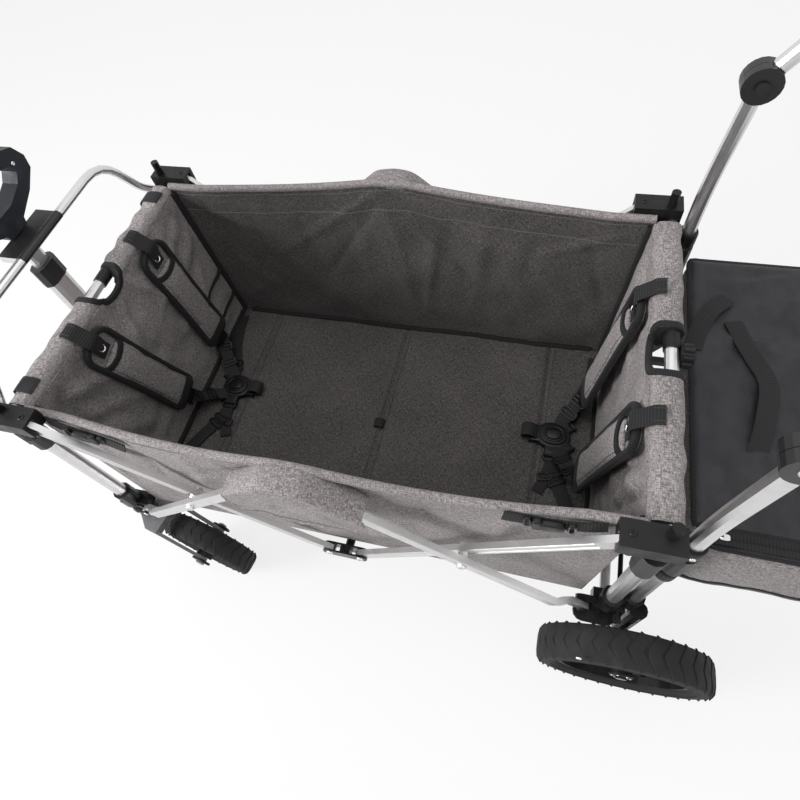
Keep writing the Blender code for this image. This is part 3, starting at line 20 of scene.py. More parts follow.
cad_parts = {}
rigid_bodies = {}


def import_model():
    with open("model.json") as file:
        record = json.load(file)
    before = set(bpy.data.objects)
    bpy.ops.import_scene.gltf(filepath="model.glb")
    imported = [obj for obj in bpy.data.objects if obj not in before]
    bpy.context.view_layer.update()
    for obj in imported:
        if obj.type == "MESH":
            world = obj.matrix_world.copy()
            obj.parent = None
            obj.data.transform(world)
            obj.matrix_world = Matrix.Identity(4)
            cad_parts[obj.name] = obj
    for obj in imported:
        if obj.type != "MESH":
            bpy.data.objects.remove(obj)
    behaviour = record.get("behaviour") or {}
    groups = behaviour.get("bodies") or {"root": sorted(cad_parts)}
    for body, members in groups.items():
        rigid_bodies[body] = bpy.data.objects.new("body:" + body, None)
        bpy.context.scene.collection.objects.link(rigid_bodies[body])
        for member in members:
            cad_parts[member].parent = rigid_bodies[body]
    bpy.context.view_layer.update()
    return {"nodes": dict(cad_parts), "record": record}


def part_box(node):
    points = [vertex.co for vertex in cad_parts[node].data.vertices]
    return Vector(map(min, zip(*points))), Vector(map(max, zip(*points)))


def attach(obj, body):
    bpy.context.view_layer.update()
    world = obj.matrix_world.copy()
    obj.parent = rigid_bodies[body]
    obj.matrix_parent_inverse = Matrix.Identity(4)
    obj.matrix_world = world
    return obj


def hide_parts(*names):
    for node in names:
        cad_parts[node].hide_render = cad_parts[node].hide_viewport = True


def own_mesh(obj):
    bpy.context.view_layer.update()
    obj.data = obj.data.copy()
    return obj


for _old in list(bpy.data.objects):
    bpy.data.objects.remove(_old, do_unlink=True)
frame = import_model()

JOB = logging.getLogger("folding_wagon")
Point = tuple[float, float, float]
Pair = tuple[float, float]
Array = np.ndarray
Values = float | np.ndarray
Material = bpy.types.Material
Socket = bpy.types.NodeSocket


class Worded(Enum):
    """Choice whose word in a node's name is its own name."""

    @property
    def word(self) -> str:
        """The word."""
        return self.name.lower()


class Side(Worded):
    """Sides of the wagon; the value is the sign of Y."""

    NEAR = -1
    FAR = 1


class End(Worded):
    """Ends of the wagon; the value is the sign of X."""

    FRONT = -1
    REAR = 1


# Places of the frame that several sub-assemblies share, in metres
WAGON_SHIFT = Vector((-0.08715, 0.0, 0.0))
RIM_Z = 0.600
PIN_Z = 0.260
FLOOR_Z = 0.264
FLOOR_FOOT_Z = 0.254
BASKET_FALL = RIM_Z - FLOOR_Z
CORNER_X = 0.394
CENTRE_HALF = 0.0275
CROSS_X = 0.21075
CROSS_Z = 0.430
V_ARM_Y = 0.256
M_ARM_Y = 0.273
M_FOOT_Y = 0.2605
ARM_THICK = 0.009
END_TOP_X = 0.410
END_FOOT_X = 0.390
SIDE_INNER_Y = 0.2295
TOP_TUBE_X = 0.436
HEM_X = 0.430
TOP_TUBE_Z = 0.588
TURNED_UP = (0, 0, 1)
CORNERS = ((1, 1, 0.0), (-1, 1, pi / 2), (-1, -1, pi), (1, -1, 1.5 * pi))


@dataclass
class Form:
    """Points, faces, and the UV of each face corner in metres along the surface."""

    points: Array
    faces: list[tuple[int, ...]]
    uvs: Array

    def moved(self, matrix: Matrix) -> "Form":
        """Copy of the form, placed by a matrix that doesn't mirror."""
        turn = np.array(matrix)
        return Form(self.points @ turn[:3, :3].T + turn[:3, 3], self.faces, self.uvs)

    def turned_over(self) -> "Form":
        """Copy whose faces point the other way.

        Returns:
            The copy.
        """
        order, start = [], 0
        for face in self.faces:
            order.extend(range(start + len(face) - 1, start - 1, -1))
            start += len(face)
        return Form(self.points, [face[::-1] for face in self.faces], self.uvs[order])

    def mirrored(self) -> "Form":
        """Copy on the other side of the wagon, with its faces still pointing outwards."""
        back = self.turned_over()
        return Form(self.points * (1, -1, 1), back.faces, back.uvs)

    @staticmethod
    def of_mesh(mesh: bpy.types.Mesh) -> "Form":
        """Form of a Blender mesh, with its first UV map where it has one.

        Args:
            mesh: The mesh.

        Returns:
            The form.
        """
        points, uvs = np.empty(len(mesh.vertices) * 3), np.zeros(len(mesh.loops) * 2)
        mesh.vertices.foreach_get("co", points)
        if mesh.uv_layers:
            mesh.uv_layers[0].data.foreach_get("uv", uvs)
        faces = [tuple(polygon.vertices) for polygon in mesh.polygons]
        return Form(points.reshape(-1, 3), faces, uvs.reshape(-1, 2))


Part = tuple[Form, Material]


def xyz(x: Values, y: Values, z: Values) -> Array:
    """Points from coordinates that are arrays or single numbers."""
    return np.stack(np.broadcast_arrays(x, y, z), -1)


def unit(vectors: Array) -> Array:
    """Vectors of length 1."""
    return vectors / np.maximum(np.linalg.norm(vectors, axis=-1, keepdims=True), 1e-12)


def gone_along(path: Array) -> Array:
    """Distance along a path at each of its points."""
    return np.concatenate([[0], np.cumsum(np.linalg.norm(np.diff(path, axis=0), axis=1))])


def between(places: Array, known: Array, points: Array) -> Array:
    """Points at places between those that are known."""
    return np.stack([np.interp(places, known, points[:, k]) for k in range(3)], -1)


def uv_of(along: Array, across: Array) -> Array:
    """UV of a grid from the distances along and across it."""
    return np.stack(np.meshgrid(along, across, indexing="ij"), -1)


def lattice(points: Array, uv: Array, ring: bool = False, caps: bool = False) -> Form:
    """Form of a grid of points.

    Args:
        points: Rows by columns by 3.
        uv: Rows by columns by 2, with one more column where the rows are rings.
        ring: Whether each row closes on itself.
        caps: Whether the first and last ring are filled.

    Returns:
        The form, whose faces turn from the rows' direction to the columns'.
    """
    rows, columns = points.shape[:2]
    faces, corners = [], []
    for i in range(rows - 1):
        for j in range(columns if ring else columns - 1):
            k = (j + 1) % columns
            faces.append((i * columns + j, i * columns + k, (i + 1) * columns + k,
                          (i + 1) * columns + j))
            corners.extend((uv[i, j], uv[i, j + 1], uv[i + 1, j + 1], uv[i + 1, j]))
    if caps:
        faces.append(tuple(range(columns - 1, -1, -1)))
        faces.append(tuple(range((rows - 1) * columns, rows * columns)))
        corners.extend([uv[0, 0]] * columns + [uv[-1, 0]] * columns)
    return Form(points.reshape(-1, 3), faces, np.array(corners))


def grid_of(place: Callable[[Array, Array], Array], columns: int, rows: int,
            size: Pair) -> tuple[Array, Array]:
    """Points and UV over the unit square.

    Args:
        place: Gives the points of arrays of shares across and up.
        columns: Number of points across.
        rows: Number of points up.
        size: The square's size on the cloth.

    Returns:
        The grid's points and its UV.
    """
    up, across = np.meshgrid(np.linspace(0, 1, rows), np.linspace(0, 1, columns), indexing="ij")
    return place(across, up), np.stack([across * size[0], up * size[1]], -1)


def cloth(points: Array, uv: Array, thickness: float) -> Form:
    """Closed sheet of even thickness round a grid of points.

    Args:
        points: Rows by columns by 3.
        uv: Rows by columns by 2.
        thickness: Thickness, half of it on each side.

    Returns:
        The sheet with its four edges closed.
    """
    rows, columns = points.shape[:2]
    normals = unit(np.cross(np.gradient(points, axis=1), np.gradient(points, axis=0)))
    normals = normals * thickness / 2
    front = lattice(points + normals, uv)
    back = lattice(points - normals, uv).turned_over()
    count = rows * columns
    number = np.arange(count).reshape(rows, columns)
    rim = [*number[:, 0], *number[-1, 1:], *number[-2::-1, -1], *number[0, -2:0:-1]]
    flat_uv = uv.reshape(-1, 2)
    faces, corners = [], []
    for a, b in zip(rim, rim[1:] + rim[:1]):
        faces.append((int(a), int(b), int(b) + count, int(a) + count))
        corners.extend((flat_uv[a], flat_uv[b], flat_uv[b], flat_uv[a]))
    back_faces = [tuple(i + count for i in face) for face in back.faces]
    return Form(np.concatenate([front.points, back.points]), front.faces + back_faces + faces,
                np.concatenate([front.uvs, back.uvs, np.array(corners)]))


def smooth_path(points: Sequence[Sequence[float]], step: float, closed: bool = False) -> Array:
    """Evenly spaced points on a smooth curve through the given ones.

    Args:
        points: Places that the curve passes.
        step: Distance between the new points.
        closed: Whether the curve comes back to its start.

    Returns:
        The points of the curve.
    """
    given = np.asarray(points, float)
    if closed:
        given = np.concatenate([given[-1:], given, given[:2]])
    else:
        given = np.concatenate([2 * given[:1] - given[1:2], given, 2 * given[-1:] - given[-2:-1]])
    share = np.linspace(0, 1, 12, endpoint=False)[:, None]
    fine = [0.5 * (2 * b + (c - a) * share + (2 * a - 5 * b + 4 * c - d) * share ** 2
                   + (3 * b - a - 3 * c + d) * share ** 3)
            for a, b, c, d in zip(given, given[1:], given[2:], given[3:])]
    curve = np.concatenate([*fine, given[-2:-1]])
    gone = gone_along(curve)
    count = max(2, int(round(gone[-1] / step)) + 1)
    return between(np.linspace(0, gone[-1], count), gone, curve)


def superoval(width: float, height: float, power: float = 2.0, count: int = 12) -> Array:
    """Rounded profile: an oval at power 2, squarer above it.

    Args:
        width: Full width.
        height: Full height.
        power: How square it is.
        count: Number of points.

    Returns:
        Points round the profile.
    """
    angle = np.arange(count) * 2 * pi / count + pi / count
    c, s = np.cos(angle), np.sin(angle)
    return np.stack([width / 2 * np.sign(c) * np.abs(c) ** (2 / power),
                     height / 2 * np.sign(s) * np.abs(s) ** (2 / power)], -1)


def swept(path: Array, profile: Array, up: Sequence[float] | Array, closed: bool = False) -> Form:
    """Closed profile carried along a path.

    Args:
        path: Points of the path.
        profile: Points round the profile, across and up.
        up: Direction of the profile's height, one for all or one for each point.
        closed: Whether the path is a loop whose last point is its first.

    Returns:
        The swept form, capped unless it is closed.
    """
    if closed:
        tangents = np.roll(path[:-1], -1, 0) - np.roll(path[:-1], 1, 0)
        tangents = unit(np.concatenate([tangents, tangents[:1]]))
    else:
        tangents = unit(np.gradient(path, axis=0))
    sides = unit(np.cross(np.broadcast_to(np.asarray(up, float), path.shape), tangents))
    ups = np.cross(tangents, sides)
    points = (path[:, None] + sides[:, None] * profile[None, :, :1]
              + ups[:, None] * profile[None, :, 1:])
    round_it = gone_along(np.concatenate([profile, profile[:1]]))
    return lattice(points, uv_of(gone_along(path), round_it), ring=True, caps=not closed)


def tape(points: Sequence[Sequence[float]], width: float, thick: float,
         up: Sequence[float] = TURNED_UP, step: float = 0.005) -> Form:
    """Flat band through several places.

    Args:
        points: Places that it passes.
        width: Its width across the up direction.
        thick: Its thickness along it.
        up: Direction away from its flat side.
        step: Distance between its points.

    Returns:
        The band.
    """
    return swept(smooth_path(points, step), superoval(width, thick, 5.0, 12), up)


def turned(profile: Sequence[Pair], matrix: Matrix, steps: int = 32) -> Form:
    """Ring turned from a closed profile about the matrix's Z axis.

    Args:
        profile: (radius, height) points, anticlockwise.
        matrix: Placing of the axis.
        steps: Number of segments.

    Returns:
        The turned form.
    """
    ring = np.asarray(profile, float)[::-1]
    angles = np.linspace(0, 2 * pi, steps + 1)
    points = xyz(np.outer(np.cos(angles), ring[:, 0]), np.outer(np.sin(angles), ring[:, 0]),
                 ring[:, 1])
    uv = uv_of(angles * ring[:, 0].max(), gone_along(np.concatenate([ring, ring[:1]])))
    form = lattice(points, uv, ring=True)
    count = steps * len(ring)
    wrapped = [tuple(i % count for i in face) for face in form.faces]
    return Form(form.points[:count], wrapped, form.uvs).moved(matrix)


def solid_of(profile: Sequence[Pair], matrix: Matrix, steps: int = 24) -> Form:
    """Solid turned from an open profile that starts and ends on the axis."""
    return turned([(max(r, 1e-5), h) for r, h in profile], matrix, steps)


def circle(radius: Pair, middle: Pair, count: int) -> list[Pair]:
    """Oval profile with its two radii about its middle."""
    return [(middle[0] + radius[0] * cos(a), middle[1] + radius[1] * sin(a))
            for a in np.linspace(0, 2 * pi, count + 1)[:-1]]


def axis_at(place: Sequence[float], direction: Sequence[float]) -> Matrix:
    """Matrix whose Z axis points along a direction from a place."""
    turn = Vector((0, 0, 1)).rotation_difference(Vector(direction)).to_matrix().to_4x4()
    return Matrix.Translation(Vector(place)) @ turn


def rounded_plate(outlines: Sequence[Sequence[Pair]], thickness: float, rounding: float,
                  matrix: Matrix) -> Form:
    """Flat plate with rounded edges.

    Args:
        outlines: The outline and then any holes, as points.
        thickness: Full thickness along the matrix's Z axis.
        rounding: Radius of the edges.
        matrix: Placing of the plate's middle.

    Returns:
        The plate.
    """
    curve = bpy.data.curves.new("plate", "CURVE")
    curve.dimensions, curve.fill_mode = "2D", "BOTH"
    curve.extrude = thickness / 2 - rounding
    curve.bevel_depth, curve.bevel_resolution, curve.offset = rounding, 2, -rounding
    for outline in outlines:
        spline = curve.splines.new("POLY")
        spline.points.add(len(outline) - 1)
        spline.use_cyclic_u = True
        for point, (a, b) in zip(spline.points, outline):
            point.co = (a, b, 0, 1)
    return Form.of_mesh(finished_mesh(linked("plate", curve), outwards=True)).moved(matrix)


def block(width: float, height: float, thick: float, matrix: Matrix, power: float = 4.0) -> Form:
    """Rounded moulded block.

    Args:
        width: Width along the matrix's X axis.
        height: Height along its Y axis.
        thick: Thickness along its Z axis.
        matrix: Placing of its middle.
        power: How square its outline is.

    Returns:
        The block.
    """
    return rounded_plate([superoval(width, height, power, 32)], thick, min(0.3 * thick, 0.0030),
                         matrix)


def slide(width: float, height: float, wall: float, thick: float, matrix: Matrix) -> Form:
    """Moulded frame that webbing passes through.

    Args:
        width: Width along the matrix's X axis.
        height: Height along its Y axis.
        wall: Width of its bars.
        thick: Thickness along its Z axis.
        matrix: Placing of its middle.

    Returns:
        The frame.
    """
    inner = superoval(width - 2 * wall, height - 2 * wall, 4.0, 28)
    return rounded_plate([superoval(width, height, 4.0, 32), inner], thick, 0.0012, matrix)


def linked(name: str, data: bpy.types.ID) -> bpy.types.Object:
    """Object of some data, linked to the scene.

    Args:
        name: The object's name.
        data: Its mesh, curve or light.

    Returns:
        The object.
    """
    obj = bpy.data.objects.new(name, data)
    bpy.context.scene.collection.objects.link(obj)
    return obj


def finished_mesh(obj: bpy.types.Object, outwards: bool = False) -> bpy.types.Mesh:
    """Plain mesh of an object with its modifiers, after which the object is removed.

    Args:
        obj: The object.
        outwards: Whether its faces are turned outwards.

    Returns:
        The mesh, whose points at one place are joined.
    """
    bpy.context.view_layer.update()
    graph = bpy.context.evaluated_depsgraph_get()
    mesh = bpy.data.meshes.new_from_object(obj.evaluated_get(graph), preserve_all_data_layers=True,
                                           depsgraph=graph)
    bpy.data.objects.remove(obj, do_unlink=True)
    edit = bmesh.new()
    edit.from_mesh(mesh)
    bmesh.ops.remove_doubles(edit, verts=edit.verts, dist=1e-6)
    if outwards:
        bmesh.ops.recalc_face_normals(edit, faces=edit.faces)
    edit.to_mesh(mesh)
    edit.free()
    return mesh


def mesh_of(name: str, parts: Iterable[Part]) -> bpy.types.Mesh:
    """Mesh of several forms, with one slot for each of their materials.

    Args:
        name: Name of the mesh.
        parts: The forms and their materials.

    Returns:
        The mesh.
    """
    points, faces, uvs, picks, finishes = [], [], [], [], []
    start = 0
    for form, finish in parts:
        if finish not in finishes:
            finishes.append(finish)
        points.append(form.points)
        faces.extend(tuple(i + start for i in face) for face in form.faces)
        picks.extend([finishes.index(finish)] * len(form.faces))
        uvs.append(form.uvs)
        start += len(form.points)
    mesh = bpy.data.meshes.new(name)
    mesh.from_pydata(np.concatenate(points).tolist(), [], faces)
    mesh.uv_layers.new(name="UVMap").data.foreach_set("uv", np.concatenate(uvs).ravel())
    for finish in finishes:
        mesh.materials.append(finish)
    mesh.polygons.foreach_set("material_index", picks)
    return mesh


def add_piece(name: str, parts: Iterable[Part], body: str,
              replaces: Sequence[str] = (), subdivide: int = 0) -> bpy.types.Object:
    """Make a piece, place it in the row frame and hang it on its body.

    Args:
        name: Name of the piece.
        parts: Its forms and their materials.
        body: CAD body that carries it.
        replaces: CAD nodes that it stands for.
        subdivide: Levels of subdivision.

    Returns:
        The object.
    """
    mesh = mesh_of(name, parts)
    mesh.transform(Matrix.Translation(WAGON_SHIFT))
    mesh.shade_smooth()
    mesh.set_sharp_from_angle(angle=radians(38.0))
    obj = linked(name, mesh)
    if subdivide:
        finer = obj.modifiers.new("finer", "SUBSURF")
        finer.levels = finer.render_levels = subdivide
    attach(obj, body)
    if replaces:
        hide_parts(*replaces)
    JOB.info("%s: %d faces on %s", name, len(mesh.polygons), body)
    return obj


def repaint(obj: bpy.types.Object, finish: Material, first: int, last: int) -> None:
    """Give a run of a piece's faces another finish, in a slot of its own.

    Args:
        obj: The piece.
        finish: The new finish.
        first: First face of the run.
        last: Face after the run.
    """
    obj.data.materials.append(finish)
    for polygon in obj.data.polygons[first:last]:
        polygon.material_index = len(obj.data.materials) - 1


def crumple(obj: bpy.types.Object) -> None:
    """Give a piece of cloth a mesh of its own."""
    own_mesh(obj)


@dataclass(frozen=True)
class Ripples:
    """Seeded sum of waves that stands for the cloth's unevenness."""

    height: float
    length: float
    seed: int
    count: int = 9

    def at(self, u: Array, v: Array) -> Array:
        """Height at places on the cloth.

        Args:
            u: Places along the cloth.
            v: Places across the cloth.

        Returns:
            Heights.
        """
        draw = np.random.default_rng(self.seed)
        total = np.zeros_like(u)
        for _ in range(self.count):
            angle, phase = draw.uniform(0, pi), draw.uniform(0, 2 * pi)
            wave = 2 * pi / (self.length * draw.uniform(0.6, 1.7))
            total += np.sin(wave * (u * cos(angle) + v * sin(angle)) + phase)
        return total * self.height / sqrt(self.count)


@dataclass(frozen=True)
class Fold:
    """One soft fold between two places on the cloth, raised where its height is positive."""

    start: Pair
    end: Pair
    height: float
    width: float

    def at(self, u: Array, v: Array) -> Array:
        """Height at places on the cloth.

        Args:
            u: Places along the cloth.
            v: Places across the cloth.

        Returns:
            Heights.
        """
        du, dv = self.end[0] - self.start[0], self.end[1] - self.start[1]
        u, v = u - self.start[0], v - self.start[1]
        share = np.clip((u * du + v * dv) / (du * du + dv * dv), 0, 1)
        far = np.hypot(u - share * du, v - share * dv)
        return self.height * np.exp(-(far / self.width) ** 2) * np.sin(pi * (0.12 + 0.76 * share))


def relief(u: Array, v: Array, layers: Iterable[Ripples | Fold]) -> Array:
    """Sum of several ripples and folds."""
    return sum((layer.at(u, v) for layer in layers), np.zeros_like(u))


class Nodes:
    """Node tree with a short way to add linked nodes."""

    def __init__(self, tree: bpy.types.NodeTree) -> None:
        """Take the tree."""
        self.tree = tree

    def node(self, kind: str, *inputs: object, **settings: object) -> bpy.types.Node:
        """Add a node.

        Args:
            kind: Type of the node.
            inputs: Values or sockets of its first inputs; None leaves one as it is.
            settings: Properties of the node.

        Returns:
            The node.
        """
        made = self.tree.nodes.new(kind)
        for key, value in settings.items():
            setattr(made, key, value)
        for place, value in enumerate(inputs):
            self.give(made, place, value)
        return made

    def give(self, node: bpy.types.Node, place: int, value: object) -> None:
        """Link or set one input of a node, unless the value is None.

        Args:
            node: The node.
            place: Index or name of the input.
            value: Socket or plain value.
        """
        if isinstance(value, Socket):
            self.tree.links.new(value, node.inputs[place])
        elif value is not None:
            node.inputs[place].default_value = value

    def math(self, operation: str, *inputs: object) -> Socket:
        """Result of a math node."""
        return self.node("ShaderNodeMath", *inputs, operation=operation).outputs[0]

    def seen(self) -> Socket:
        """1 for what the camera, a mirror or a glass sees, or else 0.

        Returns:
            The value's socket.
        """
        rays = self.node("ShaderNodeLightPath").outputs
        either = self.math("MAXIMUM", rays["Is Camera Ray"], rays["Is Glossy Ray"])
        return self.math("MAXIMUM", either, rays["Is Transmission Ray"])


class Shading(Nodes):
    """Node tree of one material, with short ways to add what the finishes need."""

    def __init__(self, name: str, colour: Point, roughness: float, **sockets: float) -> None:
        """Start a material.

        Args:
            name: Name of the material.
            colour: Base colour.
            roughness: Base roughness.
            sockets: Other settings of the shader, with _ for each space in their names.
        """
        self.material = bpy.data.materials.new(name)
        self.material.use_nodes = True
        super().__init__(self.material.node_tree)
        self.shader = self.tree.nodes["Principled BSDF"]
        self.shader.inputs["Base Color"].default_value = (*colour, 1)
        self.shader.inputs["Roughness"].default_value = roughness
        for key, value in sockets.items():
            self.shader.inputs[key.replace("_", " ")].default_value = value

    def scaled(self, scale: Point, uv: bool = True, shift: Point = (0, 0, 0)) -> Socket:
        """Coordinates on the piece.

        Args:
            scale: Repeats to the metre along each axis.
            uv: Whether they follow the cloth, or else the piece's own space.
            shift: Move after the scaling.

        Returns:
            The coordinates' socket.
        """
        source = self.node("ShaderNodeTexCoord").outputs["UV" if uv else "Object"]
        return self.node("ShaderNodeMapping", source, shift, (0, 0, 0), scale).outputs[0]

    def noise(self, coordinates: Socket, detail: float = 2.0) -> Socket:
        """Height of a noise at those coordinates."""
        return self.node("ShaderNodeTexNoise", coordinates, None, 1.0, detail, 0.55).outputs["Fac"]

    def spots(self, scale: float, detail: float = 2.0) -> Socket:
        """Height of an even noise in the piece's own space."""
        return self.noise(self.scaled((scale, scale, scale), uv=False), detail)

    def waves(self, scale: float, bend: float, way: str) -> Socket:
        """Height of waves along one direction of the cloth."""
        return self.node("ShaderNodeTexWave", self.scaled((scale, scale, 1)), 1.0, bend,
                         bands_direction=way).outputs["Fac"]

    def spread(self, value: Socket, low: float, high: float, start: float = 0.0,
               end: float = 1.0) -> Socket:
        """Value spread smoothly from low..high to start..end."""
        return self.node("ShaderNodeMapRange", value, low, high, start, end,
                         interpolation_type="SMOOTHSTEP").outputs[0]

    def mixed(self, share: Socket, first: object, second: object) -> Socket:
        """Colour between two colours.

        Args:
            share: Share of the second one.
            first: First colour or socket.
            second: Second colour or socket.

        Returns:
            The colour's socket.
        """
        made = self.node("ShaderNodeMix", share, data_type="RGBA")
        for place, value in ((6, first), (7, second)):
            self.give(made, place, value if isinstance(value, Socket) else (*value, 1))
        return made.outputs[2]

    def set(self, name: str, socket: Socket) -> None:
        """Drive a socket of the shader."""
        self.tree.links.new(socket, self.shader.inputs[name])

    def worn(self, noise: Socket, colour: Point, other: Point, shows: Pair,
             gloss: tuple[float, float, float, float]) -> None:
        """Let a noise drive the colour and the roughness.

        Args:
            noise: The noise.
            colour: Colour where it is low.
            other: Colour where it is high.
            shows: Noise from which the other colour shows, and at which it is full.
            gloss: The same for the roughness, and the roughness at both.
        """
        self.set("Base Color", self.mixed(self.spread(noise, *shows), colour, other))
        self.set("Roughness", self.spread(noise, *gloss))

    def bump(self, height: Socket, depth: float, strength: float = 1.0) -> None:
        """Add relief to the surface.

        Args:
            height: Height from 0 to 1.
            depth: Height of 1 in metres.
            strength: Share of it that shows.
        """
        made = self.node("ShaderNodeBump", strength, depth)
        self.tree.links.new(height, made.inputs["Height"])
        before = self.shader.inputs["Normal"]
        if before.is_linked:
            self.tree.links.new(before.links[0].from_socket, made.inputs["Normal"])
        self.set("Normal", made.outputs[0])


def tinted(colour: Point, times: float, more: float = 0.0) -> Point:
    """Colour made lighter or darker."""
    return tuple(times * c + more for c in colour)


@dataclass(frozen=True)
class MelangeFabric:
    """Grey cloth of the basket: light and dark yarns that show as short crossed streaks."""

    name: str
    dark: Point = (0.128, 0.118, 0.117)
    light: Point = (0.430, 0.392, 0.388)
    threads: float = 190.0

    def material(self) -> Material:
        """Make the material.

        Returns:
            The material.
        """
        s = Shading(self.name, self.light, 0.9, Sheen_Weight=0.06, Sheen_Roughness=0.5)
        weft = s.spread(s.noise(s.scaled((190, 1000, 1))), 0.42, 0.60)
        warp = s.spread(s.noise(s.scaled((980, 170, 1), shift=(7, 3, 0))), 0.43, 0.61)
        slubs = s.spread(s.noise(s.scaled((70, 430, 1), shift=(2, 9, 0))), 0.40, 0.62, -0.09, 0.09)
        bars = s.spread(s.noise(s.scaled((420, 64, 1), shift=(5, 1, 0))), 0.40, 0.62, -0.07, 0.07)
        streaks = s.math("ADD", s.math("MULTIPLY", weft, 0.5), s.math("MULTIPLY", warp, 0.5))
        streaks = s.math("ADD", streaks, s.math("ADD", slubs, bars))
        cloud = s.spread(s.noise(s.scaled((9, 9, 9)), 3), 0.3, 0.7, -0.08, 0.08)
        s.set("Base Color", s.mixed(s.math("ADD", streaks, cloud), self.dark, self.light))
        weave = s.math("MAXIMUM", *(s.waves(self.threads, 0.6, way) for way in "XY"))
        s.bump(weave, 0.00025, 0.7)
        s.bump(streaks, 0.0002, 0.7)
        return s.material


@dataclass(frozen=True)
class WovenTape:
    """Black webbing or binding with ribs across it and a soft sheen."""

    name: str
    colour: Point = (0.009, 0.009, 0.010)
    ribs: float = 520.0

    def material(self) -> Material:
        """Make the material.

        Returns:
            The material.
        """
        s = Shading(self.name, self.colour, 0.78, Sheen_Weight=0.06, Specular_IOR_Level=0.25)
        rib = s.waves(self.ribs / 6.28, 0.8, "X")
        fuzz = s.noise(s.scaled((900, 900, 900)))
        tone = s.math("MULTIPLY", rib, s.spread(fuzz, 0.3, 0.7, 0.45, 1.0))
        s.set("Base Color", s.mixed(tone, self.colour, tinted(self.colour, 2.3, 0.004)))
        s.set("Roughness", s.spread(fuzz, 0.3, 0.7, 0.62, 0.84))
        s.bump(rib, 0.0004)
        return s.material


@dataclass(frozen=True)
class WovenNylon:
    """Black nylon of the bag: fine plain weave, soft gloss and small creases."""

    name: str
    colour: Point = (0.0105, 0.0100, 0.0125)
    threads: float = 240.0

    def material(self) -> Material:
        """Make the material.

        Returns:
            The material.
        """
        s = Shading(self.name, self.colour, 0.46, Sheen_Weight=0.02, Specular_IOR_Level=0.32)
        creases = s.noise(s.scaled((34, 21, 1)), 4)
        s.worn(creases, self.colour, tinted(self.colour, 2.0, 0.008), (0.3, 0.7),
               (0.3, 0.7, 0.42, 0.58))
        s.bump(creases, 0.0030, 0.6)
        weave = s.math("MULTIPLY", *(s.waves(self.threads, 0.3, way) for way in "XY"))
        s.bump(weave, 0.0002, 0.6)
        return s.material


@dataclass(frozen=True)
class MouldedPlastic:
    """Fine-grained moulded plastic, a little paler where it rubs."""

    name: str
    colour: Point = (0.007, 0.007, 0.008)
    roughness: float = 0.42

    def material(self) -> Material:
        """Make the material.

        Returns:
            The material.
        """
        s = Shading(self.name, self.colour, self.roughness, Specular_IOR_Level=0.24)
        s.worn(s.spots(38, 5), self.colour, tinted(self.colour, 1.7, 0.004), (0.52, 0.78),
               (0.35, 0.7, self.roughness - 0.06, self.roughness + 0.12))
        s.bump(s.spots(1500), 0.00008)
        return s.material


@dataclass(frozen=True)
class Aluminium:
    """Satin anodised tube, drawn lengthwise, with faint scuffs."""

    name: str
    colour: Point = (0.68, 0.672, 0.672)
    roughness: float = 0.36
    drawn: Point = (40.0, 700.0, 700.0)

    def material(self) -> Material:
        """Make the material.

        Returns:
            The material.
        """
        s = Shading(self.name, self.colour, self.roughness, Metallic=1.0)
        lines, scuff = s.noise(s.scaled(self.drawn, uv=False), 3), s.spots(55, 5)
        s.set("Base Color", s.mixed(s.spread(scuff, 0.45, 0.8), self.colour, tinted(self.colour, 0.92)))
        marks = s.math("ADD", s.spread(lines, 0.3, 0.7, -0.05, 0.05), s.spread(scuff, 0.4, 0.8, 0, 0.1))
        s.set("Roughness", s.math("ADD", marks, self.roughness))
        s.bump(lines, 0.00001, 0.4)
        return s.material


class Region(Enum):
    """Ways to say which part of a solid is black plastic."""

    ABOVE = "above a height"
    ROUND = "round a cross axis"
    MIDDLE = "near the middle"


@dataclass(frozen=True)
class TubeAndPlastic:
    """Aluminium with a black moulded fitting in one region of the same solid."""

    name: str
    region: Region
    height: float
    reach: float = 0.0
    x: float = 0.0
    metal: Point = (0.68, 0.672, 0.672)
    plastic: Point = (0.010, 0.010, 0.011)

    def material(self) -> Material:
        """Make the material.

        Returns:
            The material.
        """
        s = Shading(self.name, self.metal, 0.3)
        place = s.node("ShaderNodeTexCoord").outputs["Object"]
        x, y, z = s.node("ShaderNodeSeparateXYZ", place).outputs
        up = s.math("SUBTRACT", z, self.height)
        inside = s.math("GREATER_THAN", up, 0.0)
        if self.region is Region.ROUND:
            over = s.math("SUBTRACT", x, self.x + WAGON_SHIFT.x)
            squared = s.math("ADD", s.math("MULTIPLY", up, up), s.math("MULTIPLY", over, over))
            inside = s.math("LESS_THAN", s.math("SQRT", squared), self.reach)
        elif self.region is Region.MIDDLE:
            near = s.math("LESS_THAN", s.math("ABSOLUTE", y), self.reach)
            inside = s.math("MULTIPLY", near, inside)
        scuff = s.spots(55, 5)
        metal = s.mixed(s.spread(scuff, 0.45, 0.8), self.metal, tinted(self.metal, 0.92))
        s.set("Base Color", s.mixed(inside, metal, self.plastic))
        s.set("Metallic", s.math("SUBTRACT", 1.0, inside))
        rough = s.spread(scuff, 0.4, 0.8, 0.33, 0.40)
        s.set("Roughness", s.math("ADD", rough, s.math("MULTIPLY", inside, 0.08)))
        s.bump(s.math("MULTIPLY", s.spots(1500), inside), 0.00008)
        return s.material


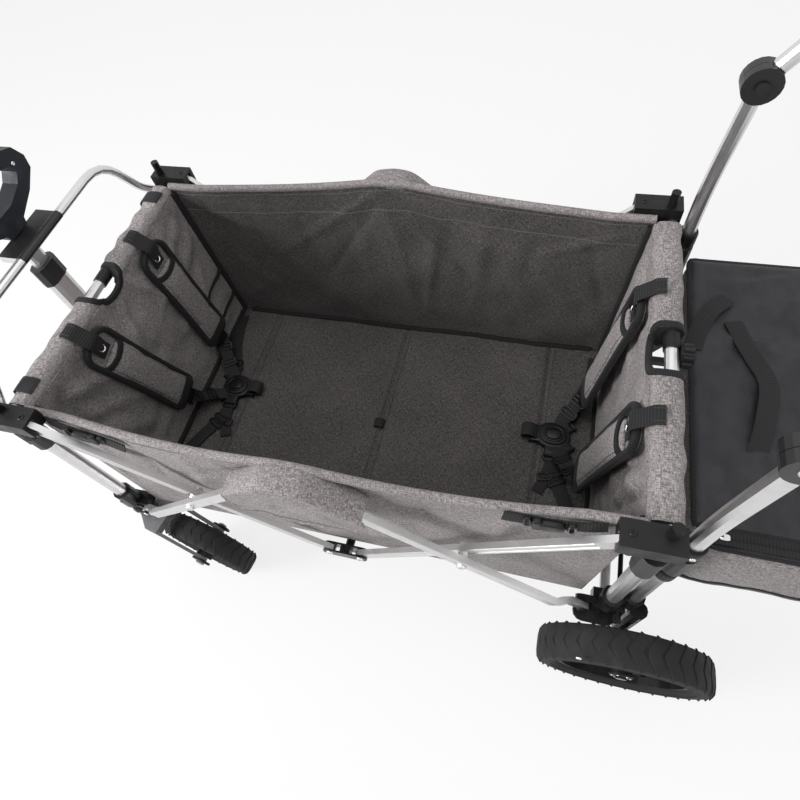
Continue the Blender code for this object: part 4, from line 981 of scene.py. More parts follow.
@dataclass(frozen=True)
class FoamRubber:
    """Matt cellular rubber with small pits and dust in its grain."""

    name: str
    colour: Point = (0.020, 0.020, 0.0205)
    pits: float = 900.0
    dust: float = 0.35

    def material(self) -> Material:
        """Make the material.

        Returns:
            The material.
        """
        s = Shading(self.name, self.colour, 0.86, Specular_IOR_Level=0.3)
        cells = s.node("ShaderNodeTexVoronoi", s.scaled((self.pits,) * 3, uv=False), None, 1.0)
        dirt = s.spots(26, 6)
        share = s.math("MULTIPLY", s.spread(dirt, 0.45, 0.75), self.dust)
        s.set("Base Color", s.mixed(share, self.colour, tinted(self.colour, 1.0, 0.040)))
        s.set("Roughness", s.spread(dirt, 0.3, 0.7, 0.78, 0.93))
        s.bump(cells.outputs["Distance"], 0.00035, 0.6)
        return s.material


@dataclass(frozen=True)
class PaintedMetal:
    """Satin paint over steel, with a faint orange-peel and worn spots."""

    name: str
    colour: Point = (0.165, 0.166, 0.172)

    def material(self) -> Material:
        """Make the material.

        Returns:
            The material.
        """
        s = Shading(self.name, self.colour, 0.38, Metallic=0.35)
        s.worn(s.spots(60, 6), self.colour, tinted(self.colour, 1.8, 0.02), (0.55, 0.8),
               (0.3, 0.7, 0.32, 0.48))
        s.bump(s.spots(420), 0.00006)
        return s.material


@dataclass(frozen=True)
class PlatedSteel:
    """Bright plated wire and screw heads, slightly spotted."""

    name: str
    colour: Point = (0.70, 0.70, 0.71)
    spotted: Point = (0.42, 0.41, 0.40)

    def material(self) -> Material:
        """Make the material.

        Returns:
            The material.
        """
        s = Shading(self.name, self.colour, 0.24, Metallic=1.0)
        s.worn(s.spots(260, 4), self.colour, self.spotted, (0.6, 0.8), (0.35, 0.75, 0.18, 0.42))
        return s.material


@dataclass(frozen=True)
class SewingThread:
    """Matt twisted thread."""

    name: str
    colour: Point = (0.12, 0.12, 0.125)

    def material(self) -> Material:
        """Make the material.

        Returns:
            The material.
        """
        s = Shading(self.name, self.colour, 0.8, Sheen_Weight=0.3)
        twist = s.node("ShaderNodeTexWave", s.scaled((420, 420, 420), uv=False), 1.0, 1.0)
        s.set("Base Color", s.mixed(twist.outputs["Fac"], self.colour, tinted(self.colour, 1.6, 0.01)))
        s.bump(twist.outputs["Fac"], 0.0002)
        return s.material


class Finishes:
    """All finishes of the wagon, each made once."""

    def __init__(self) -> None:
        """Make the materials."""
        self.melange = MelangeFabric("grey_melange").material()
        # The same melange made much darker: painted shade for the inside of the basket, on the side walls'
        # inner faces and the floor mat.
        self.lining = MelangeFabric("dark_melange", (0.0220, 0.0200, 0.0194),
                                    (0.135, 0.123, 0.118)).material()
        self.webbing = WovenTape("black_webbing").material()
        self.binding = WovenTape("black_binding", (0.007, 0.007, 0.008), 760.0).material()
        self.nylon = WovenNylon("black_nylon").material()
        self.plastic = MouldedPlastic("black_plastic_grained").material()
        self.gloss = MouldedPlastic("black_plastic_glossy", (0.008, 0.008, 0.009), 0.26).material()
        self.grip = MouldedPlastic("slate_plastic", (0.020, 0.022, 0.029), 0.46).material()
        self.metal = Aluminium("satin_aluminium").material()
        self.stem = Aluminium("brushed_stem", (0.80, 0.80, 0.81), 0.34, (700, 700, 30)).material()
        self.caster = PaintedMetal("caster_paint").material()
        self.steel = PlatedSteel("plated_steel").material()
        self.tyre = FoamRubber("tyre_rubber").material()
        self.foam = FoamRubber("grip_foam", (0.022, 0.022, 0.023), 1400.0, 0.25).material()
        self.thread = SewingThread("grey_thread").material()
        self.black_thread = SewingThread("black_thread", (0.015, 0.015, 0.016)).material()

    @staticmethod
    def dress(finish: Material, *nodes: str) -> None:
        """Give CAD nodes a finish.

        Args:
            finish: The material.
            nodes: Names of the nodes, where a last * stands for the near and the far one.
        """
        names = [name.replace("*", side.word) for name in nodes
                 for side in (Side if "*" in name else (Side.NEAR,))]
        for name in names:
            slots = frame["nodes"][name].data.materials
            slots.clear()
            slots.append(finish)
        JOB.info("%s on %d solids", finish.name, len(names))


class Repeat:
    """Geometry Nodes trees that lay out repeated shapes."""

    def __init__(self) -> None:
        """Build the trees."""
        self.spots = self._tree("set_on_spots", self._turn_by_spots)
        self.rings = self._tree("repeat_round_axis", self._turn_round, ("Count", "NodeSocketInt"))

    @staticmethod
    def _tree(name: str, layout: Callable[[Nodes, Sequence[Socket]], tuple[Socket, Socket]],
              *more: tuple[str, str]) -> bpy.types.NodeTree:
        """Tree that sets a shape on points, joins them and gives them a finish.

        Args:
            name: Name of the tree.
            layout: Gives the points and turns from the tree and its inputs.
            more: Names and types of inputs beside the points, the shape and the finish.

        Returns:
            The tree.
        """
        tree = bpy.data.node_groups.new(name, "GeometryNodeTree")
        for socket, kind in (("Spots", "NodeSocketGeometry"), ("Shape", "NodeSocketObject"),
                             ("Finish", "NodeSocketMaterial"), *more):
            tree.interface.new_socket(socket, in_out="INPUT", socket_type=kind)
        tree.interface.new_socket("Made", in_out="OUTPUT", socket_type="NodeSocketGeometry")
        n = Nodes(tree)
        source = n.node("NodeGroupInput").outputs
        shape = n.node("GeometryNodeObjectInfo", source["Shape"]).outputs["Geometry"]
        points, turn = layout(n, source)
        put = n.node("GeometryNodeInstanceOnPoints", points, None, shape, None, None, turn)
        whole = n.node("GeometryNodeRealizeInstances", put.outputs[0])
        painted = n.node("GeometryNodeSetMaterial", whole.outputs[0], None, source["Finish"])
        n.node("NodeGroupOutput", painted.outputs[0])
        return tree

    @staticmethod
    def _turn_by_spots(n: Nodes, source: Sequence[Socket]) -> tuple[Socket, Socket]:
        """The given points, and turns that face and lie along what each point says.

        Args:
            n: The tree's nodes.
            source: Output with the points or with the count.

        Returns:
            Sockets of the points and of their turns.
        """
        turn = None
        for name, axis, pivot in (("facing", "Z", "AUTO"), ("along", "X", "Z")):
            read = n.node("GeometryNodeInputNamedAttribute", name, data_type="FLOAT_VECTOR")
            turn = n.node("FunctionNodeAlignRotationToVector", turn, None, read.outputs[0],
                          axis=axis, pivot_axis=pivot).outputs[0]
        return source["Spots"], turn

    @staticmethod
    def _turn_round(n: Nodes, source: Sequence[Socket]) -> tuple[Socket, Socket]:
        """Points on the Z axis and even turns about it.

        Args:
            n: The tree's nodes.
            source: Output with the points or with the count.

        Returns:
            Sockets of the points and of their turns.
        """
        spots = n.node("GeometryNodeMeshCircle", source["Count"], 0.0).outputs[0]
        step = n.math("DIVIDE", 2 * pi, source["Count"])
        angle = n.math("MULTIPLY", n.node("GeometryNodeInputIndex").outputs[0], step)
        return spots, n.node("ShaderNodeCombineXYZ", None, None, angle).outputs[0]

    @staticmethod
    def _run(tree: bpy.types.NodeTree, base: bpy.types.Mesh, shape: Form,
             finish: Material, **values: int) -> Form:
        """Run a tree and keep its plain mesh.

        Args:
            tree: The tree.
            base: Mesh whose points it reads.
            shape: Shape that it repeats.
            finish: Material for the result.
            values: Its other inputs.

        Returns:
            What it made.
        """
        pattern = linked("pattern", mesh_of("pattern", [(shape, finish)]))
        obj = linked("repeated", base)
        modifier = obj.modifiers.new("repeat", "NODES")
        modifier.node_group = tree
        given = {"Shape": pattern, "Finish": finish, **values}
        for item in tree.interface.items_tree:
            if item.in_out == "INPUT" and item.name in given:
                modifier[item.identifier] = given[item.name]
        form = Form.of_mesh(finished_mesh(obj))
        bpy.data.objects.remove(pattern, do_unlink=True)
        return form

    def on_spots(self, shape: Form, finish: Material, places: Sequence[Sequence[float]],
                 facing: Sequence[float] | Array, along: Sequence[float] | Array = (1, 0, 0)) -> Part:
        """Set a shape on several spots.

        Args:
            shape: The shape, standing on its origin along Z.
            finish: Its material.
            places: Where the shapes stand.
            facing: Where the Z axis points, one for all or one for each shape.
            along: Where the X axis points, in the same way.

        Returns:
            All of them as one form, with the material.
        """
        base = bpy.data.meshes.new("spots")
        base.from_pydata([tuple(p) for p in places], [], [])
        for name, vectors in (("facing", facing), ("along", along)):
            layer = base.attributes.new(name, "FLOAT_VECTOR", "POINT")
            each = np.broadcast_to(np.asarray(vectors, float), (len(places), 3))
            layer.data.foreach_set("vector", each.ravel())
        return self._run(self.spots, base, shape, finish), finish

    def screws(self, size: Point, finish: Material, places: Sequence[Sequence[float]],
               facing: Sequence[float] | Array, along: Sequence[float] = (1, 0, 0)) -> Part:
        """Set domed heads with a round socket on several spots.

        Args:
            size: Radius and height of the head, and radius of the socket.
            finish: Their material.
            places: Where they stand.
            facing: Where they face, one for all or one for each.
            along: Where their X axis points.

        Returns:
            The heads as one form, with the material.
        """
        radius, height, socket = size
        head = solid_of([(0, -0.0005), (radius, -0.0005), (radius, height * 0.35),
                         (radius * 0.90, height * 0.75), (radius * 0.70, height),
                         (socket * 1.08, height), (socket, height * 0.92), (socket, height * 0.25),
                         (0, height * 0.22)], Matrix.Identity(4), 20)
        return self.on_spots(head, finish, places, facing, along)

    def round_axis(self, shape: Form, finish: Material, count: int) -> Form:
        """A number of copies of a shape, evenly round the Z axis."""
        return self._run(self.rings, bpy.data.meshes.new("ring"), shape, finish, Count=count)

    def stitches(self, path: Array, facing: Sequence[float] | Array, finish: Material,
                 pitch: float = 0.0048) -> Part:
        """Row of stitches on a surface.

        Args:
            path: The row's line.
            facing: Direction away from the surface.
            finish: The thread's material.
            pitch: Distance between two stitches.

        Returns:
            The stitches, with the material.
        """
        even = smooth_path(path, pitch)
        x = np.array([-0.5, -0.3, 0.3, 0.5]) * pitch * 0.72
        bead = swept(xyz(x, 0 * x, np.array([-0.3, 0.3, 0.3, -0.3]) * 0.001),
                     superoval(0.0011, 0.0011, 2.0, 6), TURNED_UP)
        return self.on_spots(bead, finish, even, facing, np.gradient(even, axis=0))


def puffed(form: Form, finish: Material, limit: float, voxel: float = 0.005) -> Form:
    """Pad swollen by a cloth simulation.

    Args:
        form: The pad before it swells.
        finish: Its material.
        limit: Furthest that a point may move.
        voxel: Size of the remeshed faces.

    Returns:
        The swollen pad, without its UV.
    """
    obj = linked("pad", mesh_of("pad", [(form, finish)]))
    remesh = obj.modifiers.new("remesh", "REMESH")
    remesh.mode, remesh.voxel_size = "VOXEL", voxel
    start = Form.of_mesh(finished_mesh(obj))
    obj = linked("pad", mesh_of("pad", [(start, finish)]))
    swell = obj.modifiers.new("swell", "CLOTH")
    swell.settings.use_pressure = True
    swell.settings.uniform_pressure_force = 4.0
    swell.settings.effector_weights.gravity = 0.0
    swell.settings.quality = 4
    for step in range(1, 21):
        bpy.context.scene.frame_set(step)
    graph = bpy.context.evaluated_depsgraph_get()
    after = Form.of_mesh(obj.evaluated_get(graph).to_mesh())
    bpy.data.objects.remove(obj, do_unlink=True)
    bpy.context.scene.frame_set(1)
    move = after.points - start.points
    length = np.maximum(np.linalg.norm(move, axis=1, keepdims=True), 1e-9)
    return Form(start.points + move * np.minimum(1, limit / length), start.faces, start.uvs)


def end_wall_x(z: Values) -> Values:
    """Distance of an end wall's inner face from the middle."""
    return END_FOOT_X + (END_TOP_X - END_FOOT_X) * (z - FLOOR_Z) / BASKET_FALL


def rim_height(x: Array) -> Array:
    """Height of the side wall's rim, which peaks at the top joint and sags beside it."""
    beyond = np.maximum(np.abs(x) - CENTRE_HALF, 0) / (END_TOP_X - CENTRE_HALF)
    return RIM_Z + 0.020 * (1 - beyond) ** 3 - 0.010 * np.sin(pi * np.abs(x) / END_TOP_X)


def bow(x: Array, z: Array) -> Array:
    """How far a side wall bows outwards."""
    return 0.0175 * np.maximum(0, 1 - (x / 0.35) ** 2) * (z - FLOOR_Z) / BASKET_FALL


@dataclass
class Studio:
    """Camera, pale floor and soft light."""

    place: Point = (0.18144762, -0.46117388, 1.21440982)
    turn: Point = (0.5548032, 0.1231765, 0.2402236)
    lens: float = 25.157
    shift: float = -0.0206
    floor_half: float = 14.0
    daylight: float = 0.50

    def build(self) -> None:
        """Make the camera, the floor and the lights."""
        scene = bpy.context.scene
        scene.view_settings.view_transform = "Standard"
        lens = bpy.data.cameras.new("camera")
        lens.lens, lens.sensor_width, lens.shift_y = self.lens, 36.0, self.shift
        camera = linked("camera", lens)
        camera.location, camera.rotation_euler = self.place, self.turn
        scene.camera = camera
        self._floor()
        self._world()
        self._lamp("overhead", (-0.3, -0.1, 3.0), (0, 0, 0.3), 1.8, 27)
        self._lamp("window", (-2.5, -1.5, 1.7), (0.1, 0, 0.40), 1.2, 85)
        self._lamp("fill", (2.4, -0.9, 1.3), (0.1, 0, 0.3), 1.6, 8)

    def _floor(self) -> None:
        """Make the floor, pale to the eye and to reflections, with the wagon's shadow."""
        h = self.floor_half
        mesh = bpy.data.meshes.new("floor")
        mesh.from_pydata([(-h, -h, 0), (h, -h, 0), (h, h, 0), (-h, h, 0)], [], [(0, 1, 2, 3)])
        floor = linked("floor", mesh)
        finish = bpy.data.materials.new("pale_floor")
        finish.use_nodes = True
        n = Nodes(finish.node_tree)
        n.tree.nodes.clear()
        paint = n.node("ShaderNodeBsdfDiffuse", (0.80, 0.80, 0.80, 1)).outputs[0]
        glow = n.node("ShaderNodeEmission", (1, 1, 1, 1)).outputs[0]
        mix = n.node("ShaderNodeMixShader", n.math("MULTIPLY", n.seen(), 0.80), paint, glow)
        n.node("ShaderNodeOutputMaterial", mix.outputs[0])
        mesh.materials.append(finish)

    def _world(self) -> None:
        """Make the even daylight, which shows as white."""
        world = bpy.data.worlds.new("daylight")
        world.use_nodes = True
        n = Nodes(world.node_tree)
        level = n.node("ShaderNodeMapRange", n.seen(), 0.0, 1.0, self.daylight, 1.0).outputs[0]
        back = n.tree.nodes["Background"]
        n.give(back, 0, (1, 1, 1, 1))
        n.give(back, 1, level)
        bpy.context.scene.world = world

    @staticmethod
    def _lamp(name: str, place: Point, target: Point, size: float, power: float) -> None:
        """Hang one square area lamp.

        Args:
            name: Its name.
            place: Where it hangs.
            target: Where it points.
            size: Its side.
            power: Its power in watts.
        """
        lamp = bpy.data.lights.new(name, "AREA")
        lamp.shape, lamp.size, lamp.energy = "SQUARE", size, power
        obj = linked(name, lamp)
        obj.location = place
        obj.rotation_euler = (Vector(target) - Vector(place)).to_track_quat("-Z", "Y").to_euler()


@dataclass
class Assembly:
    """Group of pieces, with the finishes and the trees that it uses."""

    finishes: Finishes
    repeat: Repeat


@dataclass
class Basket(Assembly):
    """Side walls with their sleeves, end walls with hand cut-outs, and the folding floor mat."""

    thick: float = 0.0045
    foot_half: float = 0.392
    top_half: float = 0.412
    fold_x: float = 0.296
    mat_half: Pair = (0.395, 0.2292)
    cut_half: float = 0.0235
    cut_depth: float = 0.0090
    cut_crest: float = 0.0345
    hem_radius: float = 0.0145
    hem_points: int = 32
    seam_gap: float = 0.0065
    end_relief: float = 0.011
    # Folds beside the middle of a side: start, end, height, width, and both ends' shift
    pulls: tuple[tuple[float, ...], ...] = (
        (0.02, 0.60, 0.23, 0.46, 0.0040, 0.011, 0, 0),
        (-0.012, 0.635, 0.110, 0.545, 0.0026, 0.0038, 0, 0),
        (0.03, 0.575, 0.15, 0.40, -0.0036, 0.010, 0, 0),
        (0.385, 0.57, 0.25, 0.50, 0.0036, 0.010, 0, 0),
        (0.05, 0.52, 0.006, 0.31, 0.0034, 0.010, 0.02, 0.035),
        (0.385, 0.30, 0.28, 0.37, 0.0022, 0.014, 0, 0))

    def build(self) -> None:
        """Make every piece of the basket."""
        for side in Side:
            self._side(side)
        for end in End:
            self._end(end)
        self._floor()

    def _side_layers(self, side: Side) -> list[Ripples | Fold]:
        """Unevenness of one side wall, on (x, z); positive is inwards on the far side.

        Args:
            side: Which side.

        Returns:
            The ripples and folds.
        """
        seed = 11 if side is Side.FAR else 23
        layers: list[Ripples | Fold] = [Ripples(0.0022, 0.16, seed), Ripples(0.0009, 0.055, seed + 1)]
        draw = np.random.default_rng(seed)
        for share in np.linspace(-0.95, 0.95, 9):
            start = (share * 0.36 + draw.uniform(-0.02, 0.02), 0.565 + draw.uniform(-0.01, 0.02))
            end = (start[0] * 1.05 + draw.uniform(-0.05, 0.05), draw.uniform(0.30, 0.44))
            layers.append(Fold(start, end, draw.choice((-1, 1)) * draw.uniform(0.0022, 0.0042),
                               draw.uniform(0.009, 0.017)))
        return layers + [Fold((sign * x0 + shift, z0), (sign * x1 + end_shift, z1), height, width)
                         for sign in (-1, 1)
                         for x0, z0, x1, z1, height, width, shift, end_shift in self.pulls]

    def _rim(self, side: Side, across: Array) -> Array:
        """Rim's height at shares across; the far one is pulled taut.

        Args:
            side: Which side.
            across: Shares across, from 0 to 1.

        Returns:
            Heights of the rim.
        """
        x = (2 * across - 1) * self.top_half
        taut = 0.0035 + 0.0085 * np.sin(pi * np.abs(x) / END_TOP_X) if side is Side.FAR else 0.0
        return rim_height(x) + taut

    def _wall(self, side: Side) -> Callable[[Array, Array], Array]:
        """Surface of the far side's wall with one side's unevenness.

        Args:
            side: Which side.

        Returns:
            Function that gives points for shares across and up.
        """
        layers = self._side_layers(side)

        def place(across: Array, up: Array) -> Array:
            """Points of the wall at shares across and up.

            Args:
                across: Shares across, from 0 to 1.
                up: Shares of the height, from 0 to 1.

            Returns:
                Points.
            """
            top = self._rim(side, across)
            z = FLOOR_FOOT_Z + 0.001 + up * (top - FLOOR_FOOT_Z - 0.001)
            half = self.foot_half + (self.top_half - self.foot_half) * (z - FLOOR_Z) / BASKET_FALL
            x = (2 * across - 1) * half
            fade = np.clip((top - z) / 0.03, 0, 1) * np.clip((half - np.abs(x)) / 0.03, 0, 1)
            fade = fade * np.clip((z - FLOOR_FOOT_Z) / 0.03, 0, 1)
            seam = np.exp(-((top - z - 0.055) / 0.0035) ** 2) * 0.0011
            seam = seam + np.exp(-((top - z - 0.015) / 0.0022) ** 2) * 0.0008
            y = SIDE_INNER_Y + 0.003 + bow(x, z) - fade * relief(x, z, layers) + seam * 0.5
            return xyz(x, y, z)

        return place

    def _side(self, side: Side) -> None:
        """Make one side wall with its rolled rim, seams and sleeve.

        Args:
            side: Which side.
        """
        f, wall = self.finishes, self._wall(side)
        points, uv = grid_of(wall, 191, 73, (0.82, 0.345))
        share = np.linspace(0, 1, 150)
        roll = wall(share, np.ones(150)) - (0, 0, 0.004)
        foot = wall(share, np.full(150, 0.028)) - (0, 0.0052, 0)
        parts = [(cloth(points, uv, self.thick), f.melange),
                 (swept(roll, superoval(0.0118, 0.0125, 2.3, 14), TURNED_UP), f.melange)]
        for drop, face in ((0.0165, -1), (0.0165, 1), (0.055, -1)):
            level = 1 - drop / (self._rim(side, share) - FLOOR_FOOT_Z - 0.001)
            line = wall(share, level) + (0, face * (self.thick / 2 + 0.0002), 0)
            parts.append(self.repeat.stitches(line[2:-2], (0, face, 0), f.thread))
        parts += self._sleeve()
        parts.append((swept(foot[4:-4], superoval(0.011, 0.008, 3.0, 10), TURNED_UP), f.binding))
        if side is Side.NEAR:
            parts = [(form.mirrored(), finish) for form, finish in parts]
        obj = add_piece(f"side_panel_{side.word}", parts, f"top_joint_{side.word}",
                        [f"basket_side_{side.word}"])
        # The inner face gets the darker melange, which is painted shade inside the basket.
        repaint(obj, f.lining, 0, (points.shape[0] - 1) * (points.shape[1] - 1))
        crumple(obj)

    def _sleeve(self) -> list[Part]:
        """Gabled sleeve over the far top joint, drawn on the far side.

        Returns:
            Cloth, roll, stitches and turned edges.
        """
        f = self.finishes
        columns, rows, half, outer_y = 61, 26, 0.0945, 0.2862
        s = np.linspace(-1, 1, columns)
        ridge_x = half * s
        over = np.interp(np.abs(ridge_x), (0, 0.030, half), (0, 0.0030, 0.0585))
        ridge_z = 0.6215 - np.convolve(np.pad(over, 3, mode="edge"), np.ones(7) / 7, "valid")
        profile = np.array([(0.2505, -0.010), (0.2515, -0.003), (0.256, 0.0), (0.264, 0.0012),
                            (0.274, 0.0010), (0.2825, -0.0004), (0.2864, -0.0035), (0.2868, -0.011)])
        arc = smooth_path(np.c_[profile, 0 * profile[:, 0]], 0.0035)
        top = xyz(ridge_x, arc[:, :1], ridge_z + arc[:, 1:2])
        low = xyz(0.0785 * s, outer_y, 0.5145 + 0.0118 * np.abs(s) ** 1.3)
        down = np.linspace(0, 1, rows + 1)[1:, None, None]
        points = np.concatenate([top, top[-1] + down * (low - top[-1])])
        u = np.broadcast_to(np.arange(columns) * 0.0032, points.shape[:2])
        v = np.broadcast_to((np.arange(len(points)) * 0.0036)[:, None], points.shape[:2])
        droop = relief(u, v, [Ripples(0.0010, 0.05, 5), Fold((0.10, 0.03), (0.03, 0.12), 0.0018, 0.01),
                              Fold((0.09, 0.03), (0.16, 0.12), 0.0016, 0.01)])
        droop *= np.clip((v - 0.02) / 0.02, 0, 1)
        points[..., 1] += np.clip(droop, -0.0022, 0.0010)
        points = points[:, ::-1]
        roll = swept(points[-1] + (0, 0.0004, 0.0022), superoval(0.0062, 0.0050, 2.5, 10), (0, 1, 0))
        parts = [(cloth(points, np.stack([u[:, ::-1], v], -1), 0.0030), f.melange), (roll, f.melange),
                 self.repeat.stitches(points[-4] + (0, 0.0018, 0), (0, 1, 0), f.thread)]
        return parts + [(swept(edge[len(arc) - 3:], superoval(0.0050, 0.0052, 2.4, 10), (0, 1, 0)),
                         f.melange) for edge in (points[:, 0], points[:, -1])]

    @staticmethod
    def _end_layers(sign: int) -> list[Ripples | Fold]:
        """Unevenness of one end wall, on (y, z).

        Args:
            sign: Sign of X of the end.

        Returns:
            The ripples and folds.
        """
        draw = np.random.default_rng(40 + sign)
        layers: list[Ripples | Fold] = [Ripples(0.0021, 0.12, 31 + sign), Ripples(0.0010, 0.05, 7)]
        for place in np.linspace(-0.20, 0.20, 13):
            start = (place + draw.uniform(-0.012, 0.012), 0.580)
            layers.append(Fold(start, (start[0] + draw.uniform(-0.06, 0.06), draw.uniform(0.38, 0.52)),
                               draw.choice((-1, 1)) * draw.uniform(0.0050, 0.0095),
                               draw.uniform(0.007, 0.014)))
        for half in (-1, 1):
            layers += [Fold((half * (0.215 - 0.010 * k), 0.56 - 0.05 * k),
                            (half * (0.04 + 0.03 * k), 0.47 - 0.07 * k), 0.0065 - 0.0014 * k, 0.012)
                       for k in range(3)]
            layers.append(Fold((half * 0.21, 0.30), (half * 0.02, 0.35), 0.0030, 0.015))
        return layers

    def _end(self, end: End) -> None:
        """Make one end wall: its panel, the hem round the top tube, and the bound hand cut-out.

        Args:
            end: Which end.
        """
        f, sign = self.finishes, end.value
        notch_z, notch, side_y = RIM_Z - 0.014, self.cut_half, self.mat_half[1]
        steps = np.linspace(notch, side_y, 44)[1:]
        ys = np.concatenate([-steps[::-1], notch * np.sin(np.linspace(-pi / 2, pi / 2, 33)), steps])
        arc = notch_z - self.cut_depth * np.sqrt(np.maximum(1 - (ys / notch) ** 2, 0))
        tops = np.where(np.abs(ys) < notch, arc, notch_z)
        z = FLOOR_Z + 0.0005 + np.linspace(0, 1, 67)[:, None] * (tops - FLOOR_Z - 0.0005)
        y = np.broadcast_to(ys, z.shape)
        fade = np.clip((tops - z) / 0.03, 0, 1) * np.clip((side_y - np.abs(y)) / 0.03, 0, 1)
        fade = fade * np.clip((z - FLOOR_Z) / 0.03, 0, 1)
        soft = relief(y, z, self._end_layers(sign))
        x = end_wall_x(z) + 0.003 - fade * self.end_relief * np.tanh(soft / self.end_relief)
        points, uv = xyz(sign * x, y, z), np.stack([y, z], -1)
        if end is End.FRONT:
            points, uv = points[:, ::-1], uv[:, ::-1]
        parts = [(cloth(points, uv, self.thick), f.melange), *self._hem(end, -1), *self._hem(end, 1)]
        angle = np.linspace(-pi, 0, 40)
        edge_z = notch_z + self.cut_depth * np.sin(angle)
        out = xyz(0, np.cos(angle), np.sin(angle))
        rim = xyz(sign * (end_wall_x(edge_z) + 0.003), notch * np.cos(angle), edge_z) + out * 0.003
        parts.append((swept(rim, superoval(0.0085, 0.011, 3.2, 12), out), f.binding))
        low = xyz(sign * (END_FOOT_X - 0.002), np.linspace(-0.222, 0.222, 60), FLOOR_Z + 0.005)
        parts.append((swept(low, superoval(0.008, 0.010, 3.0, 10), TURNED_UP), f.binding))
        height = np.linspace(FLOOR_Z + 0.004, 0.5895, 60)
        for side in Side:
            corner = xyz(sign * (end_wall_x(height) - 0.0015), side.value * (SIDE_INNER_Y - 0.0035), height)
            parts.append((swept(corner, superoval(0.0105, 0.0095, 3.0, 12), (0, 1, 0)), f.binding))
        obj = add_piece(f"end_panel_{end.word}", parts, f"{end.word}_top",
                        [f"{end.word}_wall"])
        for polygon in obj.data.polygons:
            if polygon.loop_total == self.hem_points:
                polygon.material_index = obj.data.materials.find(f.binding.name)

    def _hem(self, end: End, half: int) -> list[Part]:
        """Hem of one half of an end wall, rolled round the top tube.

        Args:
            end: Which end.
            half: Sign of Y of this half.

        Returns:
            The roll, its binding at the cut-out and its stitches.
        """
        f, sign, notch = self.finishes, end.value, self.cut_crest
        y = half * np.linspace(notch, self.mat_half[1] - 0.0004, 90)
        angle = np.linspace(0, 2 * pi, self.hem_points + 1)[:-1]
        inwards = np.clip(np.mod(angle - pi / 2, 2 * pi) / pi, 0, 1)
        inwards = np.where(inwards < 1, inwards, 0.0)
        curve = notch * (1 - np.sqrt(1 - (1.44 * np.minimum(inwards, 0.56)) ** 2))
        pucker = Ripples(0.0015, 0.050, 60 + 3 * sign + half)
        soft = pucker.at(*np.broadcast_arrays(y[:, None], angle * 0.012))
        radius = self.hem_radius - 0.0008 + np.clip(soft, -0.0034, 0.0026)
        shift = np.clip(np.cos(angle) * 3, -1, 1) * 0.006
        near = np.maximum(0.0, 1 - (np.abs(y) - notch) / 0.05)[:, None]
        points = xyz(sign * (HEM_X + shift + radius * np.cos(angle)), y[:, None] - half * curve * near,
                     TOP_TUBE_Z + radius * np.sin(angle))
        roll = lattice(points, uv_of(np.abs(y), np.append(angle, 2 * pi) * 0.016), ring=True, caps=True)
        if sign * half > 0:
            roll = roll.turned_over()
        loop = np.concatenate([points[2], points[2][:1]])
        away = unit((loop - (sign * HEM_X, 0, TOP_TUBE_Z)) * (1, 0, 1))
        bound = swept(loop + away * 0.0004, superoval(0.010, 0.0032, 3.0, 10), away, closed=True)
        row = xyz(sign * 0.4195, y, 0.5733)[5:-2]
        parts = [(roll, f.melange), (bound, f.binding),
                 self.repeat.stitches(row, (sign, 0, -0.35), f.thread)]
        if end is End.FRONT:
            parts.append((self._patch(points[np.abs(np.abs(y) - 0.198) < 0.014]), f.webbing))
        return parts

    @staticmethod
    def _patch(rings: Array) -> Form:
        """Short webbing over the rings of a hem near its corner.

        Args:
            rings: The rings of points.

        Returns:
            The band.
        """
        middle = rings[len(rings) // 2]
        order = np.argsort(np.where(middle[:, 2] > 0.582, middle[:, 0], 9.0))[:14]
        path = middle[order]
        axis = (middle[:, 0].mean(), path[0, 1], TOP_TUBE_Z)
        over = smooth_path(path + unit(path - axis) * 0.0014, 0.003)
        return swept(over, superoval(0.0260, 0.0020, 5.0, 12), unit(over - axis))

    def _floor(self) -> None:
        """Make the folding floor mat with its bound edge and creases."""
        f = self.finishes
        half_x, half_y = self.mat_half
        x, y = np.meshgrid(np.linspace(-half_x, half_x, 201), np.linspace(-half_y, half_y, 91))
        edge = np.minimum(half_x - np.abs(x), half_y - np.abs(y))
        folds = (-self.fold_x, 0, self.fold_x)
        crease = sum(np.exp(-((x - fold) / 0.0045) ** 2) for fold in folds)
        swell = relief(x, y, [Ripples(0.0008, 0.20, 71), Ripples(0.0004, 0.06, 72)])
        top = FLOOR_Z - 0.0006 + np.clip(swell, -0.0014, 0.0006) - 0.0038 * crease
        top = top - 0.002 * np.exp(-(edge / 0.003) ** 2)
        bottom = np.full_like(top, FLOOR_FOOT_Z + 0.0002) + 0.0020 * crease
        mat = cloth(xyz(x, y, (top + bottom) / 2), np.stack([x, y], -1), 0.001)
        lift = ((top - bottom) / 2 - 0.0005).ravel()
        mat.points[:lift.size, 2] += lift
        mat.points[lift.size:, 2] -= lift
        # The mat gets the darker melange, which is painted shade on the basket's floor.
        parts = [(mat, f.lining)]
        for fold in folds:
            for offset in (-self.seam_gap, self.seam_gap):
                line = xyz(fold + offset, np.linspace(-0.215, 0.215, 40), FLOOR_Z + 0.0002)
                parts.append(self.repeat.stitches(line, TURNED_UP, f.black_thread))
        pull = [(x, -0.008, z) for x, z in ((0.004, 0.2632), (0.003, 0.2675), (-0.004, 0.2712),
                                            (-0.012, 0.2690), (-0.014, 0.2650), (-0.008, 0.2636))]
        parts.append((tape(pull, 0.0190, 0.0020, step=0.0025), f.webbing))
        obj = add_piece("floor_mat", parts, "top_joint_near", ["basket_floor"])
        crumple(obj)


